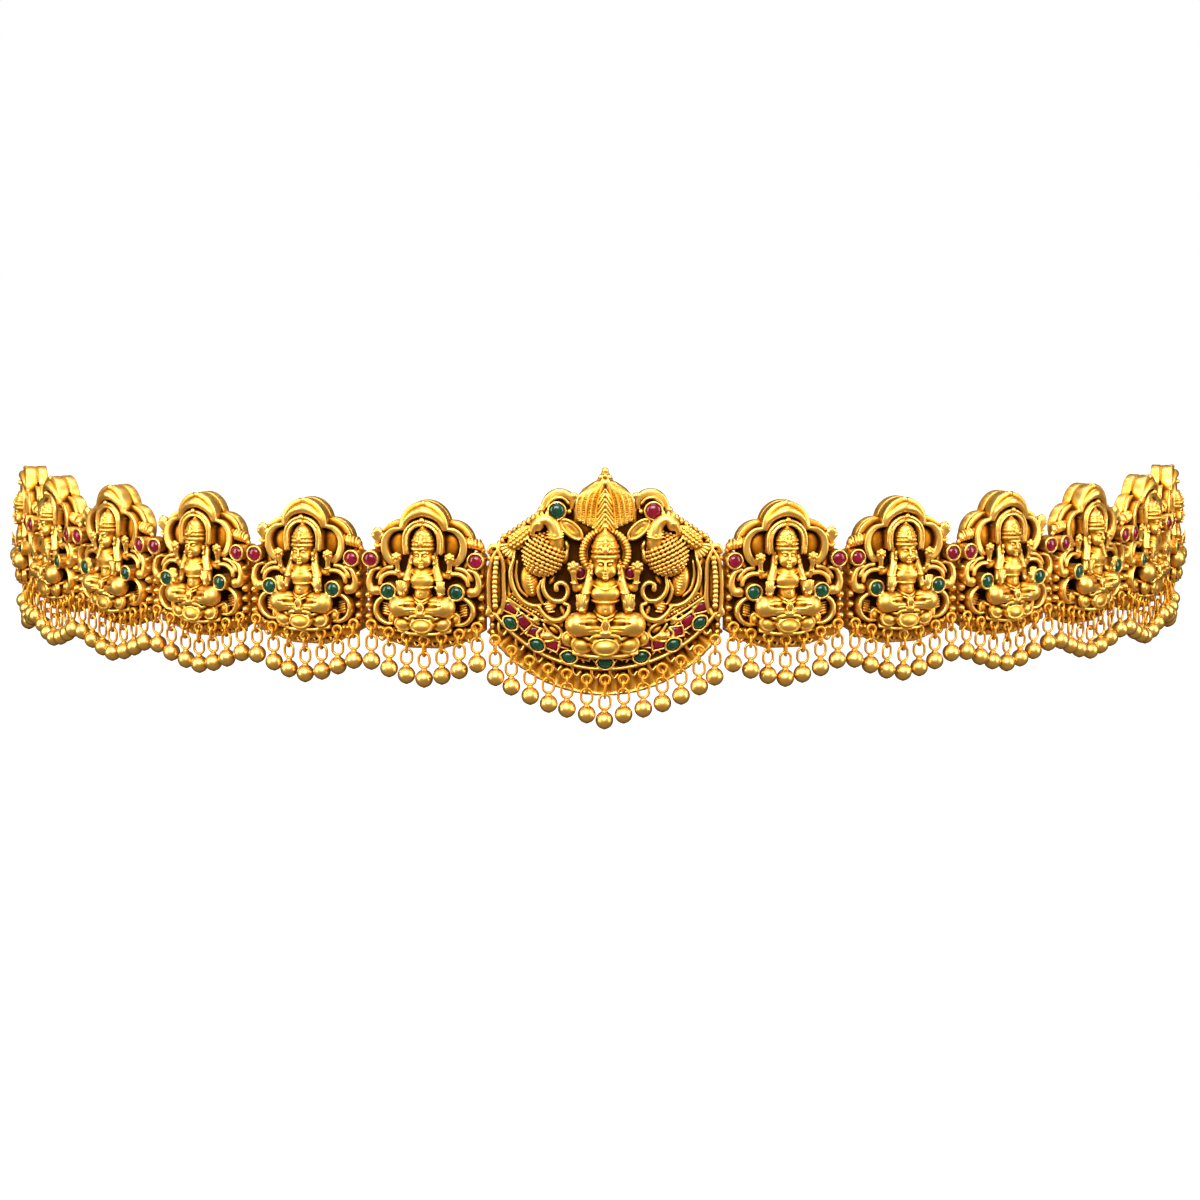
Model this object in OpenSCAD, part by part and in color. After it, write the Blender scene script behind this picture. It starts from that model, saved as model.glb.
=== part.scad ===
/* [Belt] */
// Length of one side panel along the belt
pitch = 28; // [27.5:0.5:32]
// Half the length of the centre piece along the belt
centre_half = 26.2; // [26.2:0.2:30]
// Angle that the first side panel turns back from the front
first_turn = 11; // [9:0.5:12]
// Angle that the second side panel turns from the first
turn_step = 9; // [7:0.5:10]
// How much more each further panel turns than the one before it
turn_growth = 1.8; // [1.5:0.1:2]
// Half the depth of the waist opening, front to back
waist_half_depth = 127; // [124:1:135]
// Height of the seat of the figures under the middle of the belt
belt_drop = 15; // [10:1:20]

/* [Plates] */
// Thickness of the back plate
back_t = 2.4; // [2:0.1:2.6]
// Depth of the floor of the recesses, from the back of the plate
floor_d = 3.2; // [3:0.1:3.4]
// How far the dark seam between the two layers is cut in
seam_in = 0.4; // [0.2:0.1:0.6]
// Depth of the front face of the hood, from the back of the plate
hood_d = 5.7; // [5:0.1:6.2]
// Outer radius of the hood over each figure
hood_r = 5.6; // [5.2:0.1:6]
// Height of the centre of the hood
hood_z = 24.4; // [24:0.1:25]

/* [Stones] */
// Outer radius of the round settings on the side panels
bezel_r = 1.85; // [1.6:0.05:2]
// Outer radius of the two round settings at the top of the centre piece
top_bezel_r = 2.1; // [1.9:0.05:2.3]
// Wall of a setting
bezel_wall = 0.32; // [0.25:0.01:0.4]
// Clearance round a stone
stone_gap = 0.12; // [0.1:0.01:0.15]

/* [Drops] */
// Radius of a bead
bead_r = 2; // [1.9:0.01:2.02]
// Distance between neighbouring drops on a side panel
drop_pitch = 4.1; // [4.1:0.02:4.14]
// Depth of the plane of the drops, from the back of the plate
drop_d = 5.6; // [4.8:0.1:6]
// Radius of the wire of the eyes and links
wire_r = 0.32; // [0.26:0.01:0.34]
// Radius of the soldered eyes, to the middle of the wire
eye_r = 1.05; // [1:0.05:1.1]
// Half the width of the oval ring on a bead, to the middle of the wire
ring_r = 1.26; // [1.2:0.02:1.3]
// How much longer than wide the ring on a bead is
ring_long = 0.9; // [0.6:0.05:0.9]
// Half the inner width of the loose links, to the middle of the wire
link_r = 0.74; // [0.7:0.01:0.78]

/* [Chain] */
// Radius of the tube that stands for the chain at the back
chain_r = 2.2; // [1.8:0.1:2.6]
// Radius of the wire of the hook
hook_wire = 0.7; // [0.6:0.05:0.8]

/* [Hidden] */
$fn = 48;

gold = "goldenrod";
last_panel = 6;

// Heights of the beads of a side panel and of their eyes, from the middle one outwards
side_bead_z = [-10.4, -9.6, -8.2, -6.6];
side_eye_z = [-1.75, -1, 0, 1.6];
// Places of the beads of the centre piece, with the heights of their eyes
centre_bead_x = [0, 4.2, 8.7, 12.9, 17.1, 21.2, 24.9];
centre_bead_z = [-11.4, -10, -8.7, -7.5, -5.7, -3.6, -1.4];
centre_eye_z = [-2.1, -1.95, -0.75, 0.5, 2.35, 4.65, 7.1];
// Rise of a ring above its bead, play of a link in the eye and ring, and radius of an eye's stem
ring_rise = 0.5;
link_play = 0.1;
stem_r = 0.4;
// The bottom of the centre piece hangs this far under the seats of the figures
centre_drop = 8.2;
// Places of the settings, across the panel and up it
ruby_xz = [12.2, 16.8];
emerald_xz = [7.9, 9.7];
top_stone_xz = [10.85, 36.4];
ruby_d = 6.6;
emerald_d = 7.6;
top_stone_d = 6.4;
cup_floor = 0.9;

// The joining eyes of two neighbours pass through each other behind the gap
join_r = 1.3;
join_wire = 0.36;
join_y = 1.55;
join_z = [4.6, 13.4];
end_eye_z = 9.5;

// Half the width of a side panel, less its part of the gap
half_w = pitch / 2 - 0.25;

// The figures are cast in flat facets; the one on the centre piece is larger and sits higher
facet_bar = 5;
facet_ball = 6;
facet_main = 6;
figure_w = 15.2;
figure_scale = 1.17;
figure_z = 3.6;

// Centre piece: outer arc, width over its relief, and depth of the lip under it
crescent_r = 31.25;
relief_w = 50.8;
lip_h = 6.2;
emerald_angles = [-45, -30, -15, 0, 15, 30, 45];

// The chain keeps this far inside the waist's half depth, and sinks towards the hook
chain_inset = 1.6;
chain_rings = 40;
chain_sides = 8;
chain_end_gap = 1.35;
chain_end_x = 7.3;
hook_z = -45;

// Direction and middle of side panel number k of the right half
function turn_of(k) = first_turn + (k - 1) * turn_step + turn_growth * (k - 1) * (k - 2) / 2;
function along(a) = [cos(a), sin(a)];
function middle_of(k) = k == 1
    ? [centre_half, 0] + along(turn_of(1)) * pitch / 2
    : middle_of(k - 1) + (along(turn_of(k - 1)) + along(turn_of(k))) * pitch / 2;

// Places its children on the centre piece or on side panel k; side is -1 for left and 1 for right
module on_centre() {
    translate([0, -waist_half_depth, -belt_drop - centre_drop]) children();
}
module on_panel(k, side) {
    m = middle_of(k);
    mirror([side < 0 ? 1 : 0, 0, 0])
        translate([m[0], m[1] - waist_half_depth, -belt_drop])
            rotate([0, 0, turn_of(k)]) children();
}

// Stands an outline up, from depth d0 to depth d1 in front of the back face
module slab(d0, d1) {
    translate([0, -d0, 0]) rotate([90, 0, 0]) linear_extrude(d1 - d0) children();
}
// A point given across, by depth and up
function at(x, d, z) = [x, -d, z];

// A round bar that tapers from point a to point b
module bar(a, b, ra, rb) {
    v = b - a;
    len_v = norm(v);
    translate(a)
        rotate([0, acos(v[2] / len_v), atan2(v[1], v[0])])
            cylinder(h = len_v, r1 = ra, r2 = rb);
}
module ball(p, r) {
    translate(p) sphere(r);
}

// A wire ring that faces the front, and one that lies level
module front_ring(p, r, wire) {
    translate(p) rotate([90, 0, 0]) rotate_extrude() translate([r, 0]) circle(wire);
}
module level_ring(p, r, wire) {
    translate(p) rotate_extrude() translate([r, 0]) circle(wire);
}

// A circle with another cut out of it, which leaves a crescent
module crescent(c, r, cut_c, cut_r) {
    difference() {
        translate(c) circle(r);
        translate(cut_c) circle(cut_r);
    }
}

// Stones and their settings, with the base at depth 0 and facing the front
module cabochon(r, h) {
    dome_r = (r * r + h * h) / (2 * h);
    rotate([90, 0, 0]) rotate_extrude() intersection() {
        translate([0, h - dome_r]) circle(dome_r);
        square([r, h]);
    }
}
module cup(x, z, r, d0, d1) {
    translate(at(x, d0, z)) rotate([90, 0, 0]) rotate_extrude()
        polygon([
            [0, 0], [r, 0], [r, d1 - d0], [r - bezel_wall, d1 - d0],
            [r - bezel_wall, d1 - d0 - cup_floor], [0, d1 - d0 - cup_floor]
        ]);
}
module stone(x, z, r, d1) {
    translate(at(x, d1 - cup_floor + stone_gap, z))
        cabochon(r - bezel_wall - stone_gap, cup_floor + 0.35);
}

// The seated figure on its lotus, with the seat at height 0, in flat facets like a rough casting
module lump(p, r, sides = facet_ball) {
    translate(p) sphere(r, $fn = sides);
}
module limb(a, b, ra, rb, sides = facet_bar) {
    v = b - a;
    translate(a)
        rotate([0, acos(v[2] / norm(v)), atan2(v[1], v[0])])
            cylinder(h = norm(v), r1 = ra, r2 = rb, $fn = sides);
}
module lotus() {
    intersection() {
        union() {
            translate(at(0, 2.4, 0)) cylinder(h = 4.4, r1 = 3.6, r2 = 6.8, $fn = 10);
            for (a = [-42, 0, 42]) lump(at(4.9 * sin(a), 2.4 + 4.7 * cos(a), 2), 2.3);
        }
        translate([-9, -12, -0.2]) cube([18, 9.6, 5]);
    }
}
module legs() {
    for (s = [-1, 1]) {
        limb(at(s * 0.6, 5.6, 7), at(s * 7, 7.1, 6.3), 2.1, 1.55, 6);
        limb(at(s * 6.2, 7.6, 6), at(-s * 1, 8.8, 5.4), 1.5, 0.8);
    }
}
module torso() {
    limb(at(0, 5.4, 5), at(0, 5.6, 10), 3.3, 1.75, facet_main);
    limb(at(0, 5.6, 9.8), at(0, 5.4, 14.6), 1.7, 3.2, facet_main);
    for (s = [-1, 1]) lump(at(s * 1.2, 7, 12.1), 1.2);
    limb(at(0, 5.2, 14), at(0, 5.2, 17), 2, 2.2, facet_main);
}
module arms() {
    for (s = [-1, 1]) {
        limb(at(s * 2.9, 5.6, 14.4), at(s * 4.2, 6.4, 9.4), 1.2, 0.8);
        limb(at(s * 4.1, 6.2, 9.9), at(s * 4.8, 8.7, 11.3), 0.7, 0.9);
        limb(at(s * 2.4, 4.9, 13.9), at(s * 5.6, 4.7, 13.1), 0.9, 0.75);
        limb(at(s * 5, 4.7, 12.7), at(s * 6.1, 5.6, 17), 0.6, 0.9);
        lump(at(s * 6.1, 5.5, 17.3), 1.3);
    }
}
module head() {
    lump(at(0, 6.1, 17.5), 2.25, 8);
    limb(at(0, 5.8, 18.7), at(0, 5.8, 20.4), 2.3, 2.4, facet_main);
    limb(at(0, 5.8, 20.3), at(0, 5.8, 24.3), 2.1, 0.4, facet_main);
}
module figure() {
    resize([figure_w, 0, 0]) union() {
        lotus();
        legs();
        torso();
        arms();
        head();
    }
}

// The fringe of soldered eyes under a plate
module eye(x, z, back_d) {
    front_ring(at(x, drop_d, z), eye_r, wire_r);
    bar(at(x, back_d, z + eye_r), at(x, drop_d + 0.1, z + eye_r), stem_r, stem_r);
}
// An upright oval link; turn is 0 where it faces the front and 90 where it is seen edge on
module link(x, r, z_low, z_high, turn) {
    translate(at(x, drop_d, 0)) rotate([0, 0, turn]) {
        for (end = [[z_low, 180], [z_high, 0]])
            translate([0, 0, end[0]]) rotate([90, 0, 0]) rotate([0, 0, end[1]])
                rotate_extrude(angle = 180) translate([r, 0]) circle(wire_r);
        for (s = [-1, 1]) translate([s * r, 0, z_low]) cylinder(h = z_high - z_low, r = wire_r);
    }
}
// A bead on its oval ring, and the loose link that joins the ring to the eye
module drop(x, z, eye_z) {
    ring_low = z + bead_r + ring_rise;
    ring_high = ring_low + 2 * ring_r + ring_long;
    ball(at(x, drop_d, z), bead_r);
    bar(at(x, drop_d, z + bead_r - 0.2), at(x, drop_d, ring_low + 0.05), 0.62, 0.38);
    link(x, ring_r, ring_low + ring_r, ring_high - ring_r, 0);
    rise = 2 * wire_r + link_play - link_r;
    link(x, link_r, ring_high - rise, eye_z - eye_r + rise, 90);
}

// Eyes that join a panel to its neighbour; out is 1 at the right edge and -1 at the left edge
module level_join(edge_x, out, z) {
    level_ring([edge_x - out * join_r / 2, join_y, z], join_r, join_wire);
    bar([edge_x - out * 1.2, -1, z], [edge_x - out * 1.2, join_y - join_r + 0.3, z], 0.45, 0.45);
}
module upright_join(edge_x, out, z) {
    front_ring([edge_x - out * join_r / 2, join_y, z], join_r, join_wire);
    bar([edge_x - out * 1.5 * join_r, -1, z], [edge_x - out * 1.5 * join_r, join_y, z], 0.45, 0.45);
}

// Side panel, with its outer edge at positive x
module side_outline(inset) {
    translate([0, hood_z]) circle(hood_r - inset);
    for (s = [-1, 1]) {
        translate([s * 5.9, 20.3]) circle(5.2 - inset);
        translate([s * 9.6, 11.7]) circle(3.1 - inset);
        translate([s * 8.3, 5.1]) circle(3.2 - inset);
        translate([s * ruby_xz[0], ruby_xz[1]]) circle(half_w - ruby_xz[0] - inset);
    }
    edge = half_w - 1 - inset;
    polygon([
        [-edge, 2 + inset], [-8, -1 + inset], [-3, -2.6 + inset], [3, -2.6 + inset],
        [8, -1 + inset], [edge, 2 + inset], [edge, 17], [-edge, 17]
    ]);
}
module side_rims() {
    slab(floor_d - 0.3, hood_d) crescent([0, hood_z], hood_r, [0, 22], 4.95);
    slab(floor_d - 0.3, hood_d + 0.6) difference() {
        union() {
            translate([0, 21.1]) circle(4.5);
            translate([-4.5, 18.4]) square([9, 2.7]);
        }
        translate([0, 21.1]) circle(3.7);
        translate([-3.7, 18]) square([7.4, 3.1]);
    }
    for (s = [-1, 1]) {
        slab(floor_d - 0.3, hood_d - 0.15) difference() {
            translate([s * 5.5, 20]) circle(4.4);
            translate([s * 4.9, 20.5]) circle(3.05);
            translate([s * 1.2 - 3.5, 14]) square([7, 12]);
        }
        slab(floor_d - 0.3, 6.4) crescent([s * 9.7, 11.8], 3.1, [s * 9.1, 13], 2.5);
        slab(floor_d - 0.3, 6.7) crescent([s * 8.2, 12.2], 2.6, [s * 8.1, 11.2], 2.35);
        slab(floor_d - 0.3, 6) crescent([s * 8.3, 5.1], 3.2, [s * 7.5, 5.2], 2.6);
    }
}
module side_knobs() {
    for (s = [-1, 1]) for (z = [4.4, 7.7, 11.4])
        bar(at(s * 12.6, 1, z), at(s * 12.6, 5, z), 1.05, 0.85);
    bar(at(-13.2, 3.4, 19.9), at(-9.2, 3.4, 20.5), 1.2, 1.4);
    slab(1, 4.2) translate([10.1, 17]) square([1.3, 5.6]);
    ball(at(10.8, 3.4, 23.1), 1.35);
}
module side_panel(k, side) {
    color(gold) on_panel(k, side) union() {
        union() {
            slab(0, back_t) side_outline(0);
            slab(back_t - 0.1, floor_d) side_outline(seam_in);
            side_rims();
        }
        union() {
            side_knobs();
            for (s = [-1, 1]) {
                cup(s * ruby_xz[0], ruby_xz[1], bezel_r, 2, ruby_d);
                cup(s * emerald_xz[0], emerald_xz[1], bezel_r, 1.6, emerald_d);
            }
        }
        figure();
        for (i = [-3:3]) eye(i * drop_pitch, side_eye_z[abs(i)], 1.3);
        for (z = join_z) upright_join(-pitch / 2, -1, z);
        if (k < last_panel) {
            for (z = join_z) level_join(pitch / 2, 1, z);
        } else {
            level_join(pitch / 2, 1, end_eye_z);
        }
    }
}
module side_drops(k, side) {
    color(gold) on_panel(k, side)
        for (i = [-3:3]) drop(i * drop_pitch, side_bead_z[abs(i)], side_eye_z[abs(i)]);
}

// Centre piece, with height 0 at the bottom of its crescent
module centre_outline(inset) {
    intersection() {
        translate([0, crescent_r]) circle(crescent_r - inset);
        polygon([
            [0, -1], [25.9 - inset, -1], [25.9 - inset, 26.8], [22.4 - inset, 31], [14.4, 36.9 - inset],
            [8, 40.6 - inset], [3.4, 44 - inset], [0, 46 - inset], [-3.4, 44 - inset], [-8, 40.6 - inset],
            [-14.4, 36.9 - inset], [-22.4 + inset, 31], [-25.9 + inset, 26.8], [-25.9 + inset, -1]
        ]);
    }
}
module crescent_band(r, width) {
    intersection() {
        difference() {
            translate([0, crescent_r]) circle(r);
            translate([0, crescent_r]) circle(r - width);
        }
        translate([-26, -1]) square([52, 15]);
    }
}
module marquise(x, z, a) {
    translate([x, z]) rotate(a) intersection() {
        translate([0, 0.9]) circle(2);
        translate([0, -0.9]) circle(2);
    }
}
module centre_cells() {
    slab(floor_d - 0.3, 5.6) crescent_band(crescent_r - 0.3, 1);
    slab(floor_d - 0.3, 4.6) crescent_band(crescent_r - 1.2, 4.4);
    slab(floor_d, 5.3) for (a = emerald_angles)
        marquise((crescent_r - 2.6) * sin(a), crescent_r - (crescent_r - 2.6) * cos(a), a);
}
module crest() {
    slab(floor_d - 0.3, 5.4) polygon([
        [-7, 33], [0, 31], [7, 33], [6.4, 37.4], [4.2, 41], [0, 44.6], [-4.2, 41], [-6.4, 37.4]
    ]);
    for (x = [-4.6, 0, 4.6]) limb(at(x, 5, 32.6), at(x * 0.4, 4.8, 43), 2.1, 0.9);
    for (s = [-1, 1]) limb(at(s * 5.4, 4.6, 30.4), at(s * 9, 5.4, 34), 1, 1.7);
}
module peacock(s) {
    lump(at(s * 13.4, 5.2, 26.2), 5.2, 8);
    limb(at(s * 12, 6, 28.4), at(s * 13, 6.2, 34.2), 2.7, 1.3);
    limb(at(s * 12.8, 6.2, 33.4), at(s * 17.2, 6.4, 32.6), 1.6, 0.5);
    lump(at(s * 19.2, 4.4, 30.2), 3);
    limb(at(s * 19, 4.2, 29.6), at(s * 22.4, 4, 26.2), 2.1, 1.6);
}
module side_leaves(s) {
    limb(at(s * 20.8, 3.4, 16.6), at(s * 9.8, 4, 10.9), 1.5, 1.8);
    limb(at(s * 23.4, 3.4, 26.6), at(s * 24, 3.4, 13.8), 2, 1.6);
}
module centre_relief() {
    resize([relief_w, 0, 0]) union() {
        crest();
        for (s = [-1, 1]) {
            peacock(s);
            side_leaves(s);
        }
    }
}
module centre_scrolls(s) {
    slab(floor_d - 0.3, 5.7) crescent([s * 16.2, 20.4], 5.6, [s * 14.9, 21.3], 4.6);
    slab(floor_d - 0.3, 5.9) crescent([s * 10.6, 19.4], 2.5, [s * 10.2, 20], 1.7);
    slab(floor_d - 0.3, 5.8) crescent([s * 11, 14.2], 3.6, [s * 10.4, 15.2], 2.9);
    slab(floor_d - 0.3, 5.6) crescent([s * 10.4, 38], 3, [s * 9.9, 37.3], 2.2);
    ball(at(s * 14.2, 3.6, 36.4), 1.1);
    ball(at(s * 21.9, 3.8, 31), 1);
}
module centre_ring() {
    slab(2.9, 6.4) difference() {
        translate([0, 26.5]) circle(5.9);
        translate([0, 26.5]) circle(4.4);
    }
}
// The lip behind the fringe of the centre piece
module centre_lip() {
    intersection() {
        translate([0, crescent_r - lip_h]) circle(crescent_r);
        translate([-25.4, -lip_h - 1]) square([50.8, lip_h + 14.8]);
    }
}
module centre_panel() {
    color(gold) on_centre() union() {
        union() {
            slab(0, back_t) centre_outline(0);
            slab(0.2, back_t - 0.2) centre_lip();
            slab(back_t - 0.1, floor_d) centre_outline(seam_in);
            centre_cells();
            centre_ring();
            for (s = [-1, 1]) centre_scrolls(s);
            for (s = [-1, 1]) cup(s * top_stone_xz[0], top_stone_xz[1], top_bezel_r, 1.5, top_stone_d);
        }
        centre_relief();
        translate([0, 0, figure_z]) scale(figure_scale) figure();
        for (i = [-6:6])
            eye(sign(i) * centre_bead_x[abs(i)], centre_eye_z[abs(i)], 1.3);
        for (s = [-1, 1]) for (z = join_z) level_join(s * centre_half, s, z + centre_drop);
    }
}
module centre_drops() {
    color(gold) on_centre()
        for (i = [-6:6])
            drop(sign(i) * centre_bead_x[abs(i)], centre_bead_z[abs(i)], centre_eye_z[abs(i)]);
}

// Stones of one half, and the two at the top of the centre piece
module side_stones(side, xz, d1, tint) {
    color(tint) for (k = [1:last_panel]) on_panel(k, side)
        for (s = [-1, 1]) stone(s * xz[0], xz[1], bezel_r, d1);
}
module top_stone(side, tint) {
    color(tint) on_centre() stone(side * top_stone_xz[0], top_stone_xz[1], top_bezel_r, top_stone_d);
}

// Chain at the back, swept along an ellipse that starts behind the end panel's eye
chain_start = middle_of(last_panel) - [0, waist_half_depth]
    + along(turn_of(last_panel)) * (pitch / 2 + chain_end_gap)
    + along(turn_of(last_panel) + 90) * join_y;
chain_half_depth = waist_half_depth - chain_inset;
chain_half_width = chain_start[0] / sqrt(1 - pow(chain_start[1] / chain_half_depth, 2));
chain_first_a = asin(chain_start[1] / chain_half_depth);
chain_last_a = acos(chain_end_x / chain_half_width);
chain_start_z = end_eye_z - belt_drop;
function chain_point(u) =
    let (a = chain_first_a + (chain_last_a - chain_first_a) * u)
    [
        chain_half_width * cos(a),
        chain_half_depth * sin(a),
        chain_start_z + (hook_z - chain_start_z) * u * u * (3 - 2 * u)
    ];
function unit(v) = v / norm(v);
module tube(r) {
    last = chain_rings - 1;
    path = [for (i = [0:last]) chain_point(i / last)];
    rings = [
        for (i = [0:last])
            let (
                dir = unit(path[min(i + 1, last)] - path[max(i - 1, 0)]),
                side_dir = unit(cross(dir, [0, 0, 1])),
                up_dir = cross(side_dir, dir)
            )
            for (j = [0:chain_sides - 1])
                let (a = 360 * (j + 0.5) / chain_sides)
                path[i] + r * (cos(a) * side_dir + sin(a) * up_dir)
    ];
    walls = [
        for (i = [0:last - 1]) for (j = [0:chain_sides - 1])
            let (
                near = i * chain_sides,
                far = near + chain_sides,
                next = (j + 1) % chain_sides
            )
            [near + j, near + next, far + next, far + j]
    ];
    first_cap = [for (j = [chain_sides - 1:-1:0]) j];
    last_cap = [for (j = [0:chain_sides - 1]) last * chain_sides + j];
    polyhedron(points = rings, faces = concat([first_cap, last_cap], walls));
}
module chain(side) {
    color(gold) mirror([side < 0 ? 1 : 0, 0, 0]) tube(chain_r);
}
module hook() {
    color(gold) translate([0, chain_half_depth, hook_z]) {
        level_ring([4.2, 0, 0], 2, hook_wire);
        bar([2.4, 0, 0], [-3.6, 0, 0], hook_wire, hook_wire);
        translate([-3.6, 2.2, 0]) rotate([0, 0, 90]) rotate_extrude(angle = 180)
            translate([2.2, 0]) circle(hook_wire);
        ball([-3.6, 4.4, 0], hook_wire * 1.15);
    }
}

centre_panel();
side_panel(1, -1);  // panel_l1
side_panel(2, -1);  // panel_l2
side_panel(3, -1);  // panel_l3
side_panel(4, -1);  // panel_l4
side_panel(5, -1);  // panel_l5
side_panel(6, -1);  // panel_l6
side_panel(1, 1);  // panel_r1
side_panel(2, 1);  // panel_r2
side_panel(3, 1);  // panel_r3
side_panel(4, 1);  // panel_r4
side_panel(5, 1);  // panel_r5
side_panel(6, 1);  // panel_r6
centre_drops();  // drops_centre
side_drops(1, -1);  // drops_l1
side_drops(2, -1);  // drops_l2
side_drops(3, -1);  // drops_l3
side_drops(4, -1);  // drops_l4
side_drops(5, -1);  // drops_l5
side_drops(6, -1);  // drops_l6
side_drops(1, 1);  // drops_r1
side_drops(2, 1);  // drops_r2
side_drops(3, 1);  // drops_r3
side_drops(4, 1);  // drops_r4
side_drops(5, 1);  // drops_r5
side_drops(6, 1);  // drops_r6
side_stones(-1, ruby_xz, ruby_d, "crimson");  // rubies_left
side_stones(1, ruby_xz, ruby_d, "crimson");  // rubies_right
side_stones(-1, emerald_xz, emerald_d, "seagreen");  // emeralds_left
side_stones(1, emerald_xz, emerald_d, "seagreen");  // emeralds_right
top_stone(1, "crimson");  // centre_ruby
top_stone(-1, "seagreen");  // centre_emerald
chain(-1);  // chain_left
chain(1);  // chain_right
hook();
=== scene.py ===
import math

import bpy
import numpy as np
from mathutils import Matrix, Vector


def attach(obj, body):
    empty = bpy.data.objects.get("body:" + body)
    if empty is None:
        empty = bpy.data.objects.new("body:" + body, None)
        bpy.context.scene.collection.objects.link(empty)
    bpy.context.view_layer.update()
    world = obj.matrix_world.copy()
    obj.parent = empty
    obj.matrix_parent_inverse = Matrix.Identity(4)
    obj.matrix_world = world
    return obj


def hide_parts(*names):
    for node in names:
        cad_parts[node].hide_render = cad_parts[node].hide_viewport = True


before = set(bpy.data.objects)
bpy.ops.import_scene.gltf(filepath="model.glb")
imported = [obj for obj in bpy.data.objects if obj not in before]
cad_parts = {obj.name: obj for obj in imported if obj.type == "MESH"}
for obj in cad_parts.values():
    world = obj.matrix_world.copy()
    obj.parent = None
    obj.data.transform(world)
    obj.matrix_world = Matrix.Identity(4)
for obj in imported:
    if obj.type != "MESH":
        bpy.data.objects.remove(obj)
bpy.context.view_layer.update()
MM = 0.001
rng = np.random.default_rng(7)

# Places that the solids share with this script, in millimetres
PITCH, CENTRE_HALF = 28.0, 26.2
FIRST_TURN, TURN_STEP, TURN_GROWTH = 11.0, 9.0, 1.8
HALF_DEPTH, BELT_DROP, CENTRE_DROP = 127.0, 15.0, 8.2
SIDE_BEAD_Z = [-10.4, -9.6, -8.2, -6.6]
SIDE_EYE_Z = [-1.75, -1.0, 0.0, 1.6]
CENTRE_BEAD_X = [0, 4.2, 8.7, 12.9, 17.1, 21.2, 24.9]
CENTRE_BEAD_Z = [-11.4, -10.0, -8.7, -7.5, -5.7, -3.6, -1.4]
CENTRE_EYE_Z = [-2.1, -1.95, -0.75, 0.5, 2.35, 4.65, 7.1]
BEAD_R, DROP_D, DROP_PITCH = 2.0, 5.6, 4.1
WIRE, EYE_R, RING_R, RING_LONG, LINK_R = 0.32, 1.05, 1.26, 0.9, 0.74
RING_RISE, LINK_PLAY = 0.5, 0.1
RUBY, EMERALD, TOP_STONE = (12.2, 16.8), (7.9, 9.7), (10.85, 36.4)
RUBY_D, EMERALD_D, TOP_STONE_D = 6.6, 7.6, 6.4
BEZEL_R, TOP_BEZEL_R, SEAT_DEPTH = 1.95, 2.15, 0.9
FIGURE_SCALE, FIGURE_Z = 1.17, 3.6
CRESCENT_R, LIP_H = 31.25, 6.4
JOIN_R, JOIN_WIRE, JOIN_Y, JOIN_Z, END_EYE_Z = 1.3, 0.36, 1.55, (4.6, 13.4), 9.5
STONE_R = 1.52
CHAIN_END_GAP, CHAIN_INSET, CHAIN_END_X, HOOK_Z = 1.35, 1.6, 7.3, -45.0
CHAIN_LONG, CHAIN_WIDE, CHAIN_WIRE, CHAIN_STEP = 6.0, 4.2, 0.55, 3.72
CHAIN_MID = CHAIN_WIDE / 2 - CHAIN_WIRE
ROPE_LOW = 0.9
HOOD_Z, HOOD_R, LOBE_X, LOBE_Z, LOBE_R = 24.4, 5.6, 5.9, 20.3, 5.2
HALO_Z, CENTRE_HALO_Z, CENTRE_HALO_R = 21.2, 26.8, 5.1
HEAD_Z, HEAD_BACK_R = 18.0, 2.5
EDGE_GAP = 0.55
WINDOW_PAD = 0.6
# Half widths of the cubes whose filling tells how deep a spot lies, which sets the painted shade and patina
# of the hollows, and the even painted shade and patina of the flat back
FINE_R, WIDE_R, BROAD_R = 0.35, 1.1, 2.6
BACK_PATINA_SHADE = 0.12
# Spread and limits of the small turns of the drops, in radians: twist, lean, swing, and the link's own twist
DROP_SPREAD = [0.16, 0.012, 0.02, 0.16]
TWIST_MAX, LEAN_MAX, SWING_MAX = 0.35, 0.02, 0.03
# Hook, and where the last links of the chain hang in it, across and back
HOOK_WIRE, HOOK_END, HOOK_BEND, HOOK_ARM = 0.72, 0.62, 2.2, 3.6
LAST_RIGHT, LAST_LEFT = (7.35, 0.0), (7.0, 2.1)
FIRST_LINK, LINK_CLEAR = 2.05, 3.0


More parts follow.
